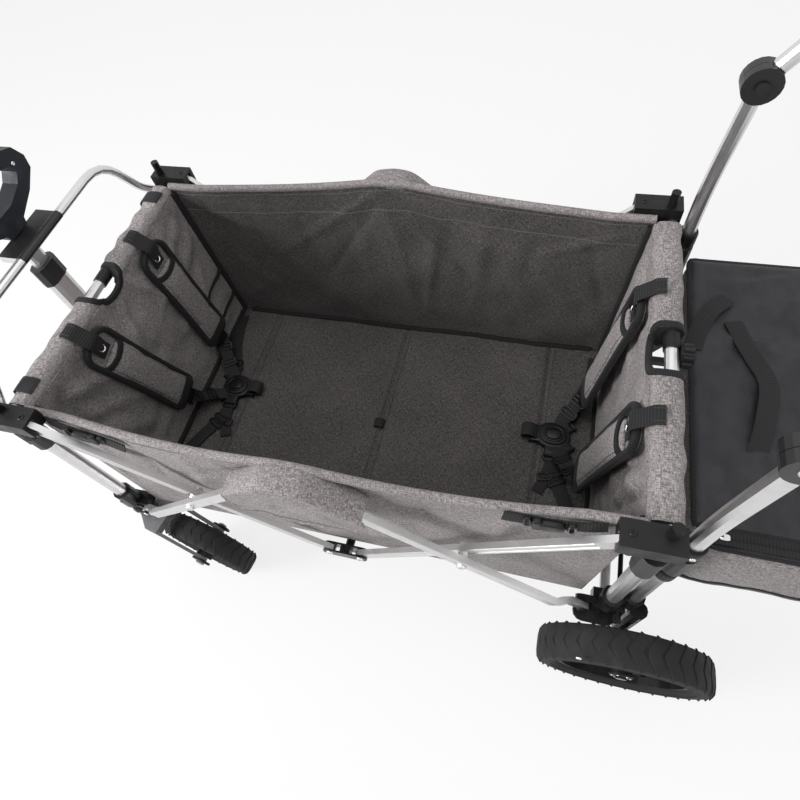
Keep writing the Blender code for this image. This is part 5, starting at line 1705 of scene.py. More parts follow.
@dataclass
class Harness(Assembly):
    """Shoulder pads, webbing straps, rings and the two round buckles."""

    pad_size: Point = (0.016, 0.074, 0.262)
    pad_y: float = 0.100
    hang_z: float = 0.578
    waist: float = 0.08
    belt: Pair = (0.0245, 0.0026)
    buckle_at: Pair = (0.320, 0.020)
    leans: dict[End, float] = field(default_factory=lambda: {End.REAR: 5.0, End.FRONT: 1.0})
    turns: dict[tuple[End, Side], float] = field(default_factory=lambda: {
        (End.REAR, Side.NEAR): 7.0, (End.REAR, Side.FAR): 3.0,
        (End.FRONT, Side.NEAR): 13.0, (End.FRONT, Side.FAR): -2.0})

    def build(self) -> None:
        """Make the pads, straps and buckles of both ends."""
        for end in End:
            for side in Side:
                self._pad(end, side)
                self._hanger(end, side)
            self._buckle(end)

    def placing(self, end: End, side: Side) -> Matrix:
        """Place of a pad: its origin hangs at the top, Z runs up it and X away from the basket.

        Args:
            end: Which end.
            side: Which side.

        Returns:
            The placing.
        """
        place = Vector((end.value * (end_wall_x(self.hang_z) - 0.001), side.value * self.pad_y,
                        self.hang_z))
        lean = end.value * (radians(self.leans[end]) + atan2(END_TOP_X - END_FOOT_X, BASKET_FALL))
        turn = -side.value * radians(self.turns[end, side])
        return (Matrix.Translation(place) @ Matrix.Rotation(lean, 4, "Y")
                @ Matrix.Rotation(turn, 4, "X"))

    def _outline(self, inset: float, top: float = 0.0, bottom: float = 0.262) -> Array:
        """Outline of a pad, or of a part of it, in its own Y and Z, as a closed loop.

        Args:
            inset: Distance inside the edge.
            top: Distance of the part's top below the hanging point.
            bottom: Distance of its foot below the hanging point.

        Returns:
            Points with X = 0.
        """
        width, length = self.pad_size[1:]
        line = []
        for y_sign, z_sign, start in CORNERS:
            corner = 0.028 if z_sign > 0 and top == 0 else 0.018
            middle = -top - corner if z_sign > 0 else -bottom + corner
            line += [(0.0, y_sign * (width / 2 - corner) + (corner - inset) * cos(angle),
                      middle + (corner - inset) * sin(angle))
                     for angle in np.linspace(start, start + pi / 2, 9)]
        path = np.array(line + line[:1])
        fine = [path[0]]
        for start, end in zip(path, path[1:]):
            steps = max(1, int(np.linalg.norm(end - start) / 0.008))
            fine.extend(start + (end - start) * k / steps for k in range(1, steps + 1))
        loop = np.array(fine)
        across = np.clip((loop[:, 2] + length / 2) / (length / 2), -1, 1)
        loop[:, 1] *= 1 - self.waist * np.cos(across * pi / 2)
        return loop

    def _cushion(self, away: int) -> Form:
        """Swollen panel of a pad whose face points along X the given way, flat at the back.

        Args:
            away: Sign of X that the face points along.

        Returns:
            The panel.
        """
        rings = []
        for depth, inset in ((0.10, 0.0048), (0.28, 0.0018), (0.48, 0.0016), (0.62, 0.0046),
                             (0.70, 0.0120), (0.74, 0.0240)):
            rings.append(self._outline(inset, 0.046, 0.260)[:-1])
            rings[-1][:, 0] = away * self.pad_size[0] * depth
        points = np.stack(rings)
        uv = np.zeros((*(n + 1 for n in points.shape[:2]), 2))
        core = lattice(points, uv, ring=True, caps=True)
        if away < 0:
            core = core.turned_over()
        form = puffed(core, self.finishes.melange, 0.0042)
        form.points[:, 0] = away * np.maximum(away * form.points[:, 0], 0.0006)
        return self._own_uv(form)

    @staticmethod
    def _own_uv(form: Form) -> Form:
        """The form with the Y and Z of its points as UV."""
        return Form(form.points, form.faces, np.array([form.points[i][1:] for face in form.faces
                                                       for i in face]))

    def _pad(self, end: End, side: Side) -> None:
        """Make one shoulder pad: a swollen panel in a bound edge, with the open arch above it.

        Args:
            end: Which end.
            side: Which side.
        """
        f, thick, away = self.finishes, self.pad_size[0], -end.value
        cushion = self._cushion(away)
        hit = BVHTree.FromPolygons([tuple(p) for p in cushion.points], cushion.faces)

        def on_top(line: Array, lift: float) -> Array:
            """Line laid on the swollen panel.

            Args:
                line: Points over the panel.
                lift: Height above the panel.

            Returns:
                The laid points.
            """
            laid = line.copy()
            for point in laid:
                found = hit.ray_cast(Vector((away * 0.05, point[1], point[2])), Vector((-away, 0, 0)))
                high = found[0].x * away if found[0] is not None else 0.0
                point[0] = away * (max(high, thick * 0.42) + lift)
            return laid

        rim = self._outline(0.0045)
        rim[:, 0] = away * thick * 0.42
        edge = swept(rim, superoval(0.0105, 0.0112, 3.0, 12), (away, 0, 0), closed=True)
        row = on_top(self._outline(0.0125, 0.046, 0.246)[3:], 0.0003)
        lying = Matrix(((0, 0, 1, 0), (1, 0, 0, 0), (0, 1, 0, 0), (0, 0, 0, 1)))
        plate = rounded_plate([self._outline(0.003, 0.0, 0.075)[:-1, 1:]], 0.0030, 0.0010,
                              Matrix.Translation((away * 0.0016, 0, 0)) @ lying)
        parts = [(cushion, f.melange), (edge, f.binding),
                 self.repeat.stitches(row, (away, 0, 0), f.black_thread),
                 (self._own_uv(plate), f.melange)]
        share = np.linspace(-1, 1, 24)
        for level, dip, wide in ((-0.0500, -0.010, 0.0105), (-0.2440, 0.002, 0.0200)):
            line = on_top(xyz(0 * share, share * 0.0335, level + dip * (1 - share ** 2)), 0.0006)
            parts.append((swept(line, superoval(wide, 0.0046, 4.0, 12), (away, 0, 0)), f.binding))
        matrix = self.placing(end, side)
        word = f"{end.word}_pad_{side.word}"
        obj = add_piece(f"cushion_{word}", [(form.moved(matrix), finish) for form, finish in parts],
                        f"{end.word}_top", [word], subdivide=1)

    def _hanger(self, end: End, side: Side) -> None:
        """Make the tab that comes from the hem into a pad's arch, with its snap.

        Args:
            end: Which end.
            side: Which side.
        """
        f, sign, matrix = self.finishes, end.value, self.placing(end, side)
        tab = [tuple(matrix @ Vector((-sign * x, 0, z)))
               for x, z in ((0.0068, -0.041), (0.0085, -0.026), (0.0150, -0.007), (0.0142, 0.004))]
        y = tab[-1][1]
        tab += [(sign * x, y, z) for x, z in ((0.4078, 0.5965), (0.4125, 0.6015), (0.4190, 0.6042),
                                              (0.4260, 0.6050))]
        path = smooth_path(tab, 0.0025)
        snap = matrix @ axis_at((-sign * 0.0098, 0, -0.0255), (-sign, 0, 0.25))
        stud = solid_of([(0, -0.001), (0.0040, -0.001), (0.0038, 0.0006), (0, 0.0012)], snap, 20)
        parts = [(swept(path, superoval(0.0024, 0.0270, 5.0, 12), (0, 1, 0)), f.webbing),
                 (turned(circle((0.0016, 0.0012), (0.0058, 0.0), 10), snap, 28), f.steel),
                 (stud, f.gloss)]
        for shift in (-0.0085, 0.0085):
            row = path[-6:] + (0, shift, 0.0013)
            parts.append(self.repeat.stitches(row, TURNED_UP, f.black_thread, 0.0035))
        add_piece(f"strap_hanger_{end.word}_{side.word}", parts, f"{end.word}_top")

    def _buckle(self, end: End) -> None:
        """Make the round buckle on the floor with its clips, button and the straps to it.

        Args:
            end: Which end.
        """
        f, sign = self.finishes, end.value
        place = Matrix.Translation((sign * self.buckle_at[0], self.buckle_at[1], 0.0))
        parts = [(block(*size, place @ Matrix.Translation((0, 0, z)), power), finish)
                 for size, z, power, finish in (((0.060, 0.052, 0.0115), 0.27015, 2.3, f.plastic),
                                                ((0.047, 0.040, 0.0060), 0.2767, 2.2, f.plastic),
                                                ((0.0270, 0.0215, 0.0060), 0.2796, 2.2, f.gloss))]
        rims = [superoval(0.0370, 0.0310, 2.2, 36), superoval(0.0300, 0.0245, 2.2, 32)]
        ring = rounded_plate(rims, 0.0036, 0.0014, place @ Matrix.Translation((0, 0, 0.2800)))
        parts.append((ring, f.gloss))
        wall_way = 0.0 if sign > 0 else pi
        for angle, wide, finish in ((wall_way + 0.75, 0.024, f.plastic), (wall_way - 0.75, 0.024, f.plastic),
                                    (wall_way + pi, 0.034, f.gloss), (-pi / 2, 0.026, f.plastic)):
            arm = place @ Matrix.Rotation(angle, 4, "Z") @ Matrix.Translation((0.0300, 0, 0.2708))
            parts.append((block(0.024, wide, 0.0095, arm, 5.0), finish))
            for size, x, z in (((0.0055, wide + 0.004, 0.0112), 0.0105, 0.0005),
                               ((0.0022, wide * 0.7, 0.0016), -0.004, 0.0048),
                               ((0.0022, wide * 0.7, 0.0016), 0.001, 0.0048)):
                parts.append((block(*size, arm @ Matrix.Translation((x, 0, z))), finish))
        tail = [(sign * 0.320, -0.012, 0.2705), (sign * 0.319, -0.040, 0.2700),
                (sign * 0.312, -0.066, 0.2672), (sign * 0.303, -0.090, 0.2672)]
        lock = Matrix.Translation((sign * 0.3135, -0.060, 0.2698)) @ Matrix.Rotation(
            sign * 0.25 + pi / 2, 4, "Z")
        turn = place @ Matrix.Rotation(wall_way + pi, 4, "Z")
        loop = [tuple(turn @ Vector((x, 0, z))) for x, z in
                ((0.0330, 0.2705), (0.0460, 0.2695), (0.0545, 0.2735), (0.0565, 0.2800),
                 (0.0520, 0.2860), (0.0420, 0.2870), (0.0340, 0.2830), (0.0300, 0.2775))]
        parts += [(tape(tail, 0.0200, 0.0024), f.webbing),
                  (slide(0.018, 0.028, 0.0040, 0.0040, lock), f.plastic),
                  (tape(loop, 0.0030, 0.0260, (0, 1, 0), 0.003), f.webbing),
                  (slide(0.030, 0.019, 0.0036, 0.0055,
                         place @ Matrix.Translation((0, -0.0420, 0.2715))), f.plastic)]
        parts += self._belts(sign)
        for side in Side:
            parts += self._shoulder_strap(end, side)
        add_piece(f"harness_{end.word}", parts, f"{end.word}_top",
                  [f"{end.word}_buckle"])

    def _belts(self, sign: int) -> list[Part]:
        """The two belts from a buckle to the side walls, with their slides.

        Args:
            sign: Sign of X of the end.

        Returns:
            The belts and slides.
        """
        f, parts = self.finishes, []
        for belt in (((0.3210, -0.0360, 0.2712), (0.3300, -0.0600, 0.2690), (0.3500, -0.0980, 0.2686),
                      (0.3680, -0.1400, 0.2690), (0.3780, -0.1750, 0.2686), (0.3820, -0.2020, 0.2682)),
                     ((0.3360, 0.0440, 0.2712), (0.3500, 0.0800, 0.2688), (0.3680, 0.1250, 0.2690),
                      (0.3780, 0.1650, 0.2686), (0.3820, 0.2020, 0.2682))):
            path = smooth_path([(sign * x, y, z) for x, y, z in belt], 0.005)
            parts.append((swept(path, superoval(*self.belt, 5.0, 12), TURNED_UP), f.webbing))
            for k in (4, 7):
                heading = path[k + 1] - path[k - 1]
                lock = (Matrix.Translation(Vector(path[k]) + Vector((0, 0, 0.0012)))
                        @ Matrix.Rotation(atan2(heading[1], heading[0]), 4, "Z"))
                parts.append((slide(0.012, 0.0320, 0.0032, 0.0042, lock), f.plastic))
        return parts

    def _shoulder_strap(self, end: End, side: Side) -> list[Part]:
        """Strap from a buckle to one pad's foot, with its slides and clip.

        Args:
            end: Which end.
            side: Which side.

        Returns:
            The strap and what sits on it.
        """
        f, sign, matrix = self.finishes, end.value, self.placing(end, side)
        start = np.array((sign * 0.330, self.buckle_at[1] + side.value * 0.018, 0.2725))
        before = matrix @ Vector((-sign * 0.008, 0, -0.2745))
        pad_end = matrix @ Vector((-sign * 0.0085, 0, -0.2450))
        middle = np.array((before.x - sign * 0.025, (before.y + 0.020) / 2, 0.2812))
        path = smooth_path([start, (start + middle) / 2 + (0, 0, 0.001), middle, tuple(before),
                            tuple(pad_end)], 0.004)
        flat = np.linspace(0, 1, len(path))[:, None] ** 3
        ups = (1 - flat) * np.array((0, 0, 1.0)) + flat * np.array((-sign * 1.0, 0, 0.15))
        parts = [(swept(path, superoval(*self.belt, 5.0, 12), ups), f.webbing)]
        for share in (0.34, 0.62):
            k = int(share * (len(path) - 1))
            heading = Vector(path[k + 2] - path[k - 2])
            lock = (Matrix.Translation(Vector(path[k]) + Vector((0, 0, 0.0020)))
                    @ Matrix.Rotation(atan2(heading.y, heading.x), 4, "Z")
                    @ Matrix.Rotation(-atan2(heading.z, hypot(heading.x, heading.y)), 4, "Y"))
            parts.append((slide(0.019, 0.033, 0.0040, 0.0036, lock), f.plastic))
            parts.append((block(0.0040, 0.0300, 0.0034, lock), f.plastic))
        clip = matrix @ Matrix.Translation((-sign * 0.0085, 0, -0.268)) @ Matrix.Rotation(pi / 2, 4, "Y")
        ridge = clip @ Matrix.Translation((0.009, 0, 0))
        return parts + [(block(0.026, 0.030, 0.0080, clip, 5.0), f.plastic),
                        (block(0.0050, 0.034, 0.0095, ridge), f.plastic)]


@dataclass
class SideTrim(Assembly):
    """Bound corner gusset inside and the webbing that hangs outside the near rim."""

    strap_lines: dict[End, tuple[Point, ...]] = field(default_factory=lambda: {
        End.REAR: ((0.372, -0.2415, 0.586), (0.345, -0.2455, 0.583), (0.312, -0.2470, 0.580),
                   (0.285, -0.2480, 0.581), (0.258, -0.2500, 0.586)),
        End.FRONT: ((-0.378, -0.2400, 0.588), (-0.352, -0.2440, 0.583), (-0.322, -0.2460, 0.577),
                    (-0.295, -0.2475, 0.571), (-0.262, -0.2500, 0.560))})

    def build(self) -> None:
        """Make the two bound edges in the far front corner, and both straps."""
        parts = []
        for line in (((0.2250, 0.398), (0.2080, 0.3925), (0.1650, 0.3920), (0.1390, 0.3780)),
                     ((0.2250, 0.329), (0.2100, 0.3240), (0.1800, 0.3235), (0.1560, 0.3210))):
            path = smooth_path([(-end_wall_x(z) + 0.0022, y, z) for y, z in line], 0.004)
            parts.append((swept(path, superoval(0.0075, 0.0060, 3.0, 10), (1, 0, 0)),
                          self.finishes.binding))
        add_piece("corner_gusset", parts, "front_top")
        for end in End:
            self._rim_strap(end)

    def _rim_strap(self, end: End) -> None:
        """Make the strap with a side-release clip beside one near corner.

        Args:
            end: Which end.
        """
        f, path = self.finishes, smooth_path(self.strap_lines[end], 0.005)
        parts = [(swept(path, superoval(0.0024, 0.0180, 5.0, 12), (0, 0.25, 1)), f.webbing)]
        k = len(path) // 2
        heading = Vector(path[k + 1] - path[k - 1])
        turn = (Matrix.Translation(Vector(path[k]) + Vector((0, -0.0035, 0)))
                @ Matrix.Rotation(-atan2(heading.z, heading.x), 4, "Y") @ Matrix.Rotation(pi / 2, 4, "X"))
        head = turn @ Matrix.Translation((0.016, 0, 0))
        parts += [(block(0.030, 0.0205, 0.0085, turn, 3.2), f.plastic),
                  (block(0.012, 0.0250, 0.0075, head, 3.5), f.plastic)]
        for shift in (-0.022, 0.027):
            lock = turn @ Matrix.Translation((shift, 0, -0.001))
            parts.append((slide(0.010, 0.0235, 0.0028, 0.0040, lock), f.plastic))
        obj = add_piece(f"rim_strap_{end.word}", parts, "top_joint_near")
        crumple(obj)


def joint_place(name: str) -> tuple[Vector, Vector]:
    """Place of a joint in the wagon's measures, and its axis."""
    joints = {joint["name"]: joint for joint in frame["record"]["behaviour"]["joints"]}
    return Vector(joints[name]["pos_m"]) - WAGON_SHIFT, Vector(joints[name]["axis"])


@dataclass
class ScissorArms(Assembly):
    """Flat bars of the sides with the raised edges that leave a groove along each."""

    rail_offset: float = 0.0058
    rail: Pair = (0.0050, 0.0018)
    bend: Pair = (0.034, 0.062)
    cross_y: float = 0.2804
    cross_screw: Point = (0.0066, 0.0026, 0.0028)
    foot_screw: Point = (0.0062, 0.0028, 0.0026)

    def build(self) -> None:
        """Dress the bars and their joints."""
        f = self.finishes
        for end in End:
            for side in Side:
                for letter in "mv":
                    node = f"{letter}_arm_{end.word}_{side.word}"
                    f.dress(f.metal, node)
                    self._bar(letter, end, side, node)
        f.dress(f.plastic, "top_joint_*")
        f.dress(f.gloss, "bottom_cross_tube")
        low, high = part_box("bottom_cross_tube")
        ways = [(y, sign, x) for y, sign in ((low[1], -1), (high[1], 1)) for x in (-CENTRE_HALF, CENTRE_HALF)]
        made = self.repeat.screws(self.foot_screw, f.steel,
                                  [(x, y - sign * 0.0004, PIN_Z) for y, sign, x in ways],
                                  [(0, sign, 0) for _, sign, _ in ways])
        add_piece("bottom_joint_screws", [made], "centre_bottom")

    def _bar(self, letter: str, end: End, side: Side, body: str) -> None:
        """Make the rails of one bar, and on an outer bar the screw at the crossing.

        Args:
            letter: m for an outer bar and v for an inner one.
            end: Which end.
            side: Which side.
            body: The bar's body.
        """
        f, outer = self.finishes, letter == "m"
        foot = Vector((end.value * CORNER_X, PIN_Z if outer else RIM_Z))
        head = Vector((end.value * CENTRE_HALF, RIM_Z if outer else PIN_Z))
        along = (head - foot).normalized()
        gone = np.linspace(0.020 if outer else 0.040, (head - foot).length - 0.036, 60)
        bent = np.clip((gone - self.bend[0]) / (self.bend[1] - self.bend[0]), 0, 1)
        middle = M_FOOT_Y + (M_ARM_Y - M_FOOT_Y) * bent if outer else np.full(60, V_ARM_Y)
        parts = []
        for offset in (-self.rail_offset, self.rail_offset):
            path = xyz(foot.x + along.x * gone - along.y * offset,
                       side.value * (middle + ARM_THICK / 2 + 0.0002),
                       foot.y + along.y * gone + along.x * offset)
            parts.append((swept(path, superoval(*self.rail, 2.6, 8), (0, side.value, 0)), f.metal))
        if outer:
            place = [(end.value * CROSS_X, side.value * self.cross_y, CROSS_Z)]
            parts.append(self.repeat.screws(self.cross_screw, f.steel, place, (0, side.value, 0)))
        add_piece(f"rails_{letter}_{end.word}_{side.word}", parts, body)


@dataclass
class CornerFittings(Assembly):
    """Posts, brackets, sockets and cross tubes of both end frames."""

    collar_feet: dict[End, float] = field(default_factory=lambda: {End.REAR: 0.488,
                                                                   End.FRONT: 0.517})
    cap: Point = (0.392, 0.2525, 0.6143)
    screw: Point = (0.0044, 0.0016, 0.0022)

    def build(self) -> None:
        """Dress the frames' solids and add their small fittings."""
        f = self.finishes
        for end in End:
            word = end.word
            collar = TubeAndPlastic(f"post_{word}", Region.ABOVE, self.collar_feet[end]).material()
            f.dress(collar, f"{word}_post_*")
            f.dress(f.gloss, f"{word}_socket_*")
            f.dress(f.plastic, f"{word}_bracket_*")
            f.dress(f.metal, f"{word}_cross_tube", f"{word}_top_tube")
            self._tube_sleeve(end)
            self._screws(end)
        f.dress(f.plastic, "tube_knob")
        f.dress(TubeAndPlastic("hoop", Region.MIDDLE, 0.66, 0.050).material(), "front_hoop")

    def _tube_sleeve(self, end: End) -> None:
        """Make the black sleeve on half of the top tube, seen in the hand cut-out.

        Args:
            end: Which end.
        """
        matrix = axis_at((end.value * TOP_TUBE_X, 0.0275, TOP_TUBE_Z), (0, 1, 0))
        ring = turned([(0.0088, -0.0215), (0.0103, -0.0215), (0.0106, -0.0195), (0.0106, 0.0205),
                       (0.0088, 0.0205)], matrix, 28)
        add_piece(f"tube_sleeve_{end.word}", [(ring, self.finishes.plastic)], f"{end.word}_top")

    def _screws(self, end: End) -> None:
        """Make the screws on the bracket caps and on the lower sockets.

        Args:
            end: Which end.
        """
        f, (x, y, z) = self.finishes, self.cap
        caps = [(end.value * x, side.value * y, z) for side in Side]
        pins = []
        for side in Side:
            reach = max(abs(corner[1]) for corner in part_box(f"{end.word}_socket_{side.word}"))
            pins.append((end.value * CORNER_X, side.value * (reach - 0.0004), PIN_Z))
        made = self.repeat.screws(self.screw, f.gloss, caps, TURNED_UP)
        add_piece(f"bracket_screws_{end.word}", [made], f"{end.word}_top")
        made = self.repeat.screws(self.screw, f.steel, pins, [(0, side.value, 0) for side in Side])
        add_piece(f"socket_screws_{end.word}", [made], f"{end.word}_frame")


@dataclass
class Wheel(Assembly):
    """One wheel: a foam tyre with a chevron tread, and its hub cap."""

    radius: float
    width: float
    rim: float
    lugs: int
    hub: Pair

    def build(self, end: End, side: Side) -> None:
        """Make the tyre and cap of the wheel at one end and side.

        Args:
            end: Which end.
            side: Which side.
        """
        f = self.finishes
        matrix = axis_at(*joint_place(f"{end.word}_wheel_{side.word}_spin"))
        half, drop = self.width / 2, self.radius - 0.0016
        flank = [(self.rim - 0.0008, 0.68), (self.rim + 0.0030, 0.86), (self.rim + 0.010, 0.985),
                 (self.radius - 0.012, 0.985), (self.radius - 0.0066, 0.93),
                 (self.radius - 0.0041, 0.80), (self.radius - 0.0025, 0.62), (drop, 0.3)]
        profile = [(r, -w * half) for r, w in flank] + [(drop + 0.0002, 0.0)]
        profile += [(r, w * half) for r, w in reversed(flank)]
        forms = [turned(profile, Matrix.Identity(4), 72),
                 self.repeat.round_axis(self._lug(half, drop), f.tyre, self.lugs)]
        for sign in (-1, 1):
            ring = circle((0.0016, 0.0011), (self.rim + 0.010, sign * half * 0.975), 8)
            forms.append(turned(ring, Matrix.Identity(4), 72))
        tyre = f"{end.word}_tyre_{side.word}"
        add_piece(f"tread_{tyre}", [(form.moved(matrix), f.tyre) for form in forms],
                  f"{end.word}_wheel_{side.word}", [tyre])
        self._caps(end, side, matrix)

    def _lug(self, half: float, base: float) -> Form:
        """One chevron of the tread at angle 0.

        Args:
            half: Half of the tyre's width.
            base: Radius of the tread's ground.

        Returns:
            The chevron.
        """
        share, lean, cover = np.linspace(-1, 1, 17), 0.62, 0.86
        angle = np.abs(share) * 2 * pi / self.lugs * lean
        fall = np.interp(np.abs(share), [0, 0.35, 0.75, 1.0], [0, 0.0001, 0.0017, 0.0068])
        radius = base + 0.0001 - fall
        path = xyz(radius * np.cos(angle), radius * np.sin(angle), share * half * cover)
        pitch = 2 * pi * self.radius / self.lugs
        across = pitch * cos(atan2(pitch * lean, half * cover))
        return swept(path, superoval(across - 0.0030, 0.0030, 7.0, 16),
                     xyz(np.cos(angle), np.sin(angle), 0))

    def _caps(self, end: End, side: Side, matrix: Matrix) -> None:
        """Make the domed caps on both sides of the hub, with screws round the rear ones.

        Args:
            end: Which end.
            side: Which side.
            matrix: Placing of the axle.
        """
        f, (radius, reach) = self.finishes, self.hub
        parts = []
        for turn in (matrix @ Matrix.Rotation(pi, 4, "X"), matrix):
            cap = solid_of([(0, reach - 0.004), (radius, reach - 0.004), (radius, reach - 0.0012),
                            (radius * 0.93, reach + 0.0004), (radius * 0.6, reach + 0.0012),
                            (radius * 0.5, reach + 0.0006), (0, reach + 0.0010)], turn, 36)
            parts.append((cap, f.plastic))
            if end is End.REAR:
                spots = [tuple(turn @ Vector((x, y, reach + 0.0006)))
                         for x, y in circle((radius * 0.77, radius * 0.77), (0, 0), 6)]
                parts.append(self.repeat.screws((0.0017, 0.0010, 0.0008), f.steel, spots,
                                                turn.to_3x3() @ Vector((0, 0, 1))))
        add_piece(f"hub_caps_{end.word}_{side.word}", parts, f"{end.word}_wheel_{side.word}")


@dataclass
class RunningGear(Assembly):
    """Casters, wheels and the foot brake."""

    axle_half: float = 0.0362
    screw_reach: float = 0.0438
    screw: Point = (0.0070, 0.0022, 0.0032)
    block_size: Pair = (0.036, 0.030)

    def build(self) -> None:
        """Make the wheels and dress the forks and the brake."""
        f = self.finishes
        front = Wheel(f, self.repeat, radius=0.098, width=0.044, rim=0.074, lugs=27,
                      hub=(0.0150, 0.0225))
        rear = Wheel(f, self.repeat, radius=0.138, width=0.056, rim=0.104, lugs=35,
                     hub=(0.0190, 0.0238))
        for side in Side:
            front.build(End.FRONT, side)
            rear.build(End.REAR, side)
            self._axle(side)
        f.dress(f.plastic, "front_rim_*", "rear_rim_*")
        f.dress(f.caster, "caster_fork_*")
        f.dress(f.gloss, "brake_bar")

    def _axle(self, side: Side) -> None:
        """Make the axle blocks and screws at the feet of one caster's fork.

        Args:
            side: Which side.
        """
        f = self.finishes
        place, axis = joint_place(f"front_wheel_{side.word}_spin")
        outs = [axis * sign for sign in (-1, 1)]
        shape = [superoval(*self.block_size, 4.0, 28)]
        lift = Matrix.Translation((0, 0, 0.0018))
        parts = [(rounded_plate(shape, 0.0050, 0.0018, axis_at(place + out * self.axle_half, out) @ lift),
                  f.plastic) for out in outs]
        parts.append(self.repeat.screws(self.screw, f.steel,
                                        [place + out * self.screw_reach for out in outs], outs,
                                        (0, 0, 1)))
        add_piece(f"axle_blocks_{side.word}", parts, f"caster_{side.word}")


@dataclass
class PushEnd(Assembly):
    """Push legs and bar with their black hubs and foam grip."""

    leg: Pair = (0.463, 0.238)
    hub: Pair = (0.474, 0.805)
    clamp_z: float = 0.565
    clamp_screw: Point = (0.0036, 0.0018, 0.0016)
    hub_screw: Point = (0.0105, 0.0030, 0.0040)

    def build(self) -> None:
        """Dress the legs and the bar and add the clamps."""
        f = self.finishes
        hub = TubeAndPlastic("leg_and_hub", Region.ROUND, self.hub[1], 0.0232, self.hub[0]).material()
        f.dress(hub, "push_leg_*", "push_bar")
        f.dress(f.foam, "push_grip")
        for side in Side:
            self._clamp(side)
        for side in Side:
            self._hub_screw(side)

    def _clamp(self, side: Side) -> None:
        """Make the black clamp of one leg above the collar.

        Args:
            side: Which side.
        """
        f = self.finishes
        matrix = Matrix.Translation((self.leg[0], side.value * self.leg[1], 0))
        ring = turned([(0.0098, 0.553), (0.0135, 0.553), (0.0145, 0.556), (0.0145, 0.574),
                       (0.0132, 0.578), (0.0098, 0.578)], matrix, 28)
        spot = [(self.leg[0], side.value * (self.leg[1] + 0.0142), self.clamp_z)]
        made = self.repeat.screws(self.clamp_screw, f.steel, spot, (0, side.value, 0))
        add_piece(f"leg_clamp_{side.word}", [(ring, f.plastic), made], "rear_frame")

    def _hub_screw(self, side: Side) -> None:
        """Make the cap in the middle of one hub, on whichever half of it is outside.

        Args:
            side: Which side.
        """
        leg, bar = (max(abs(corner[1]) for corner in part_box(node))
                    for node in (f"push_leg_{side.word}", "push_bar"))
        spot = [(self.hub[0], side.value * (max(leg, bar) - 0.0004), self.hub[1])]
        made = self.repeat.screws(self.hub_screw, self.finishes.steel, spot, (0, side.value, 0))
        body = "rear_frame" if leg > bar - 1e-5 else "push_bar"
        add_piece(f"hub_screw_{side.word}", [made], body)


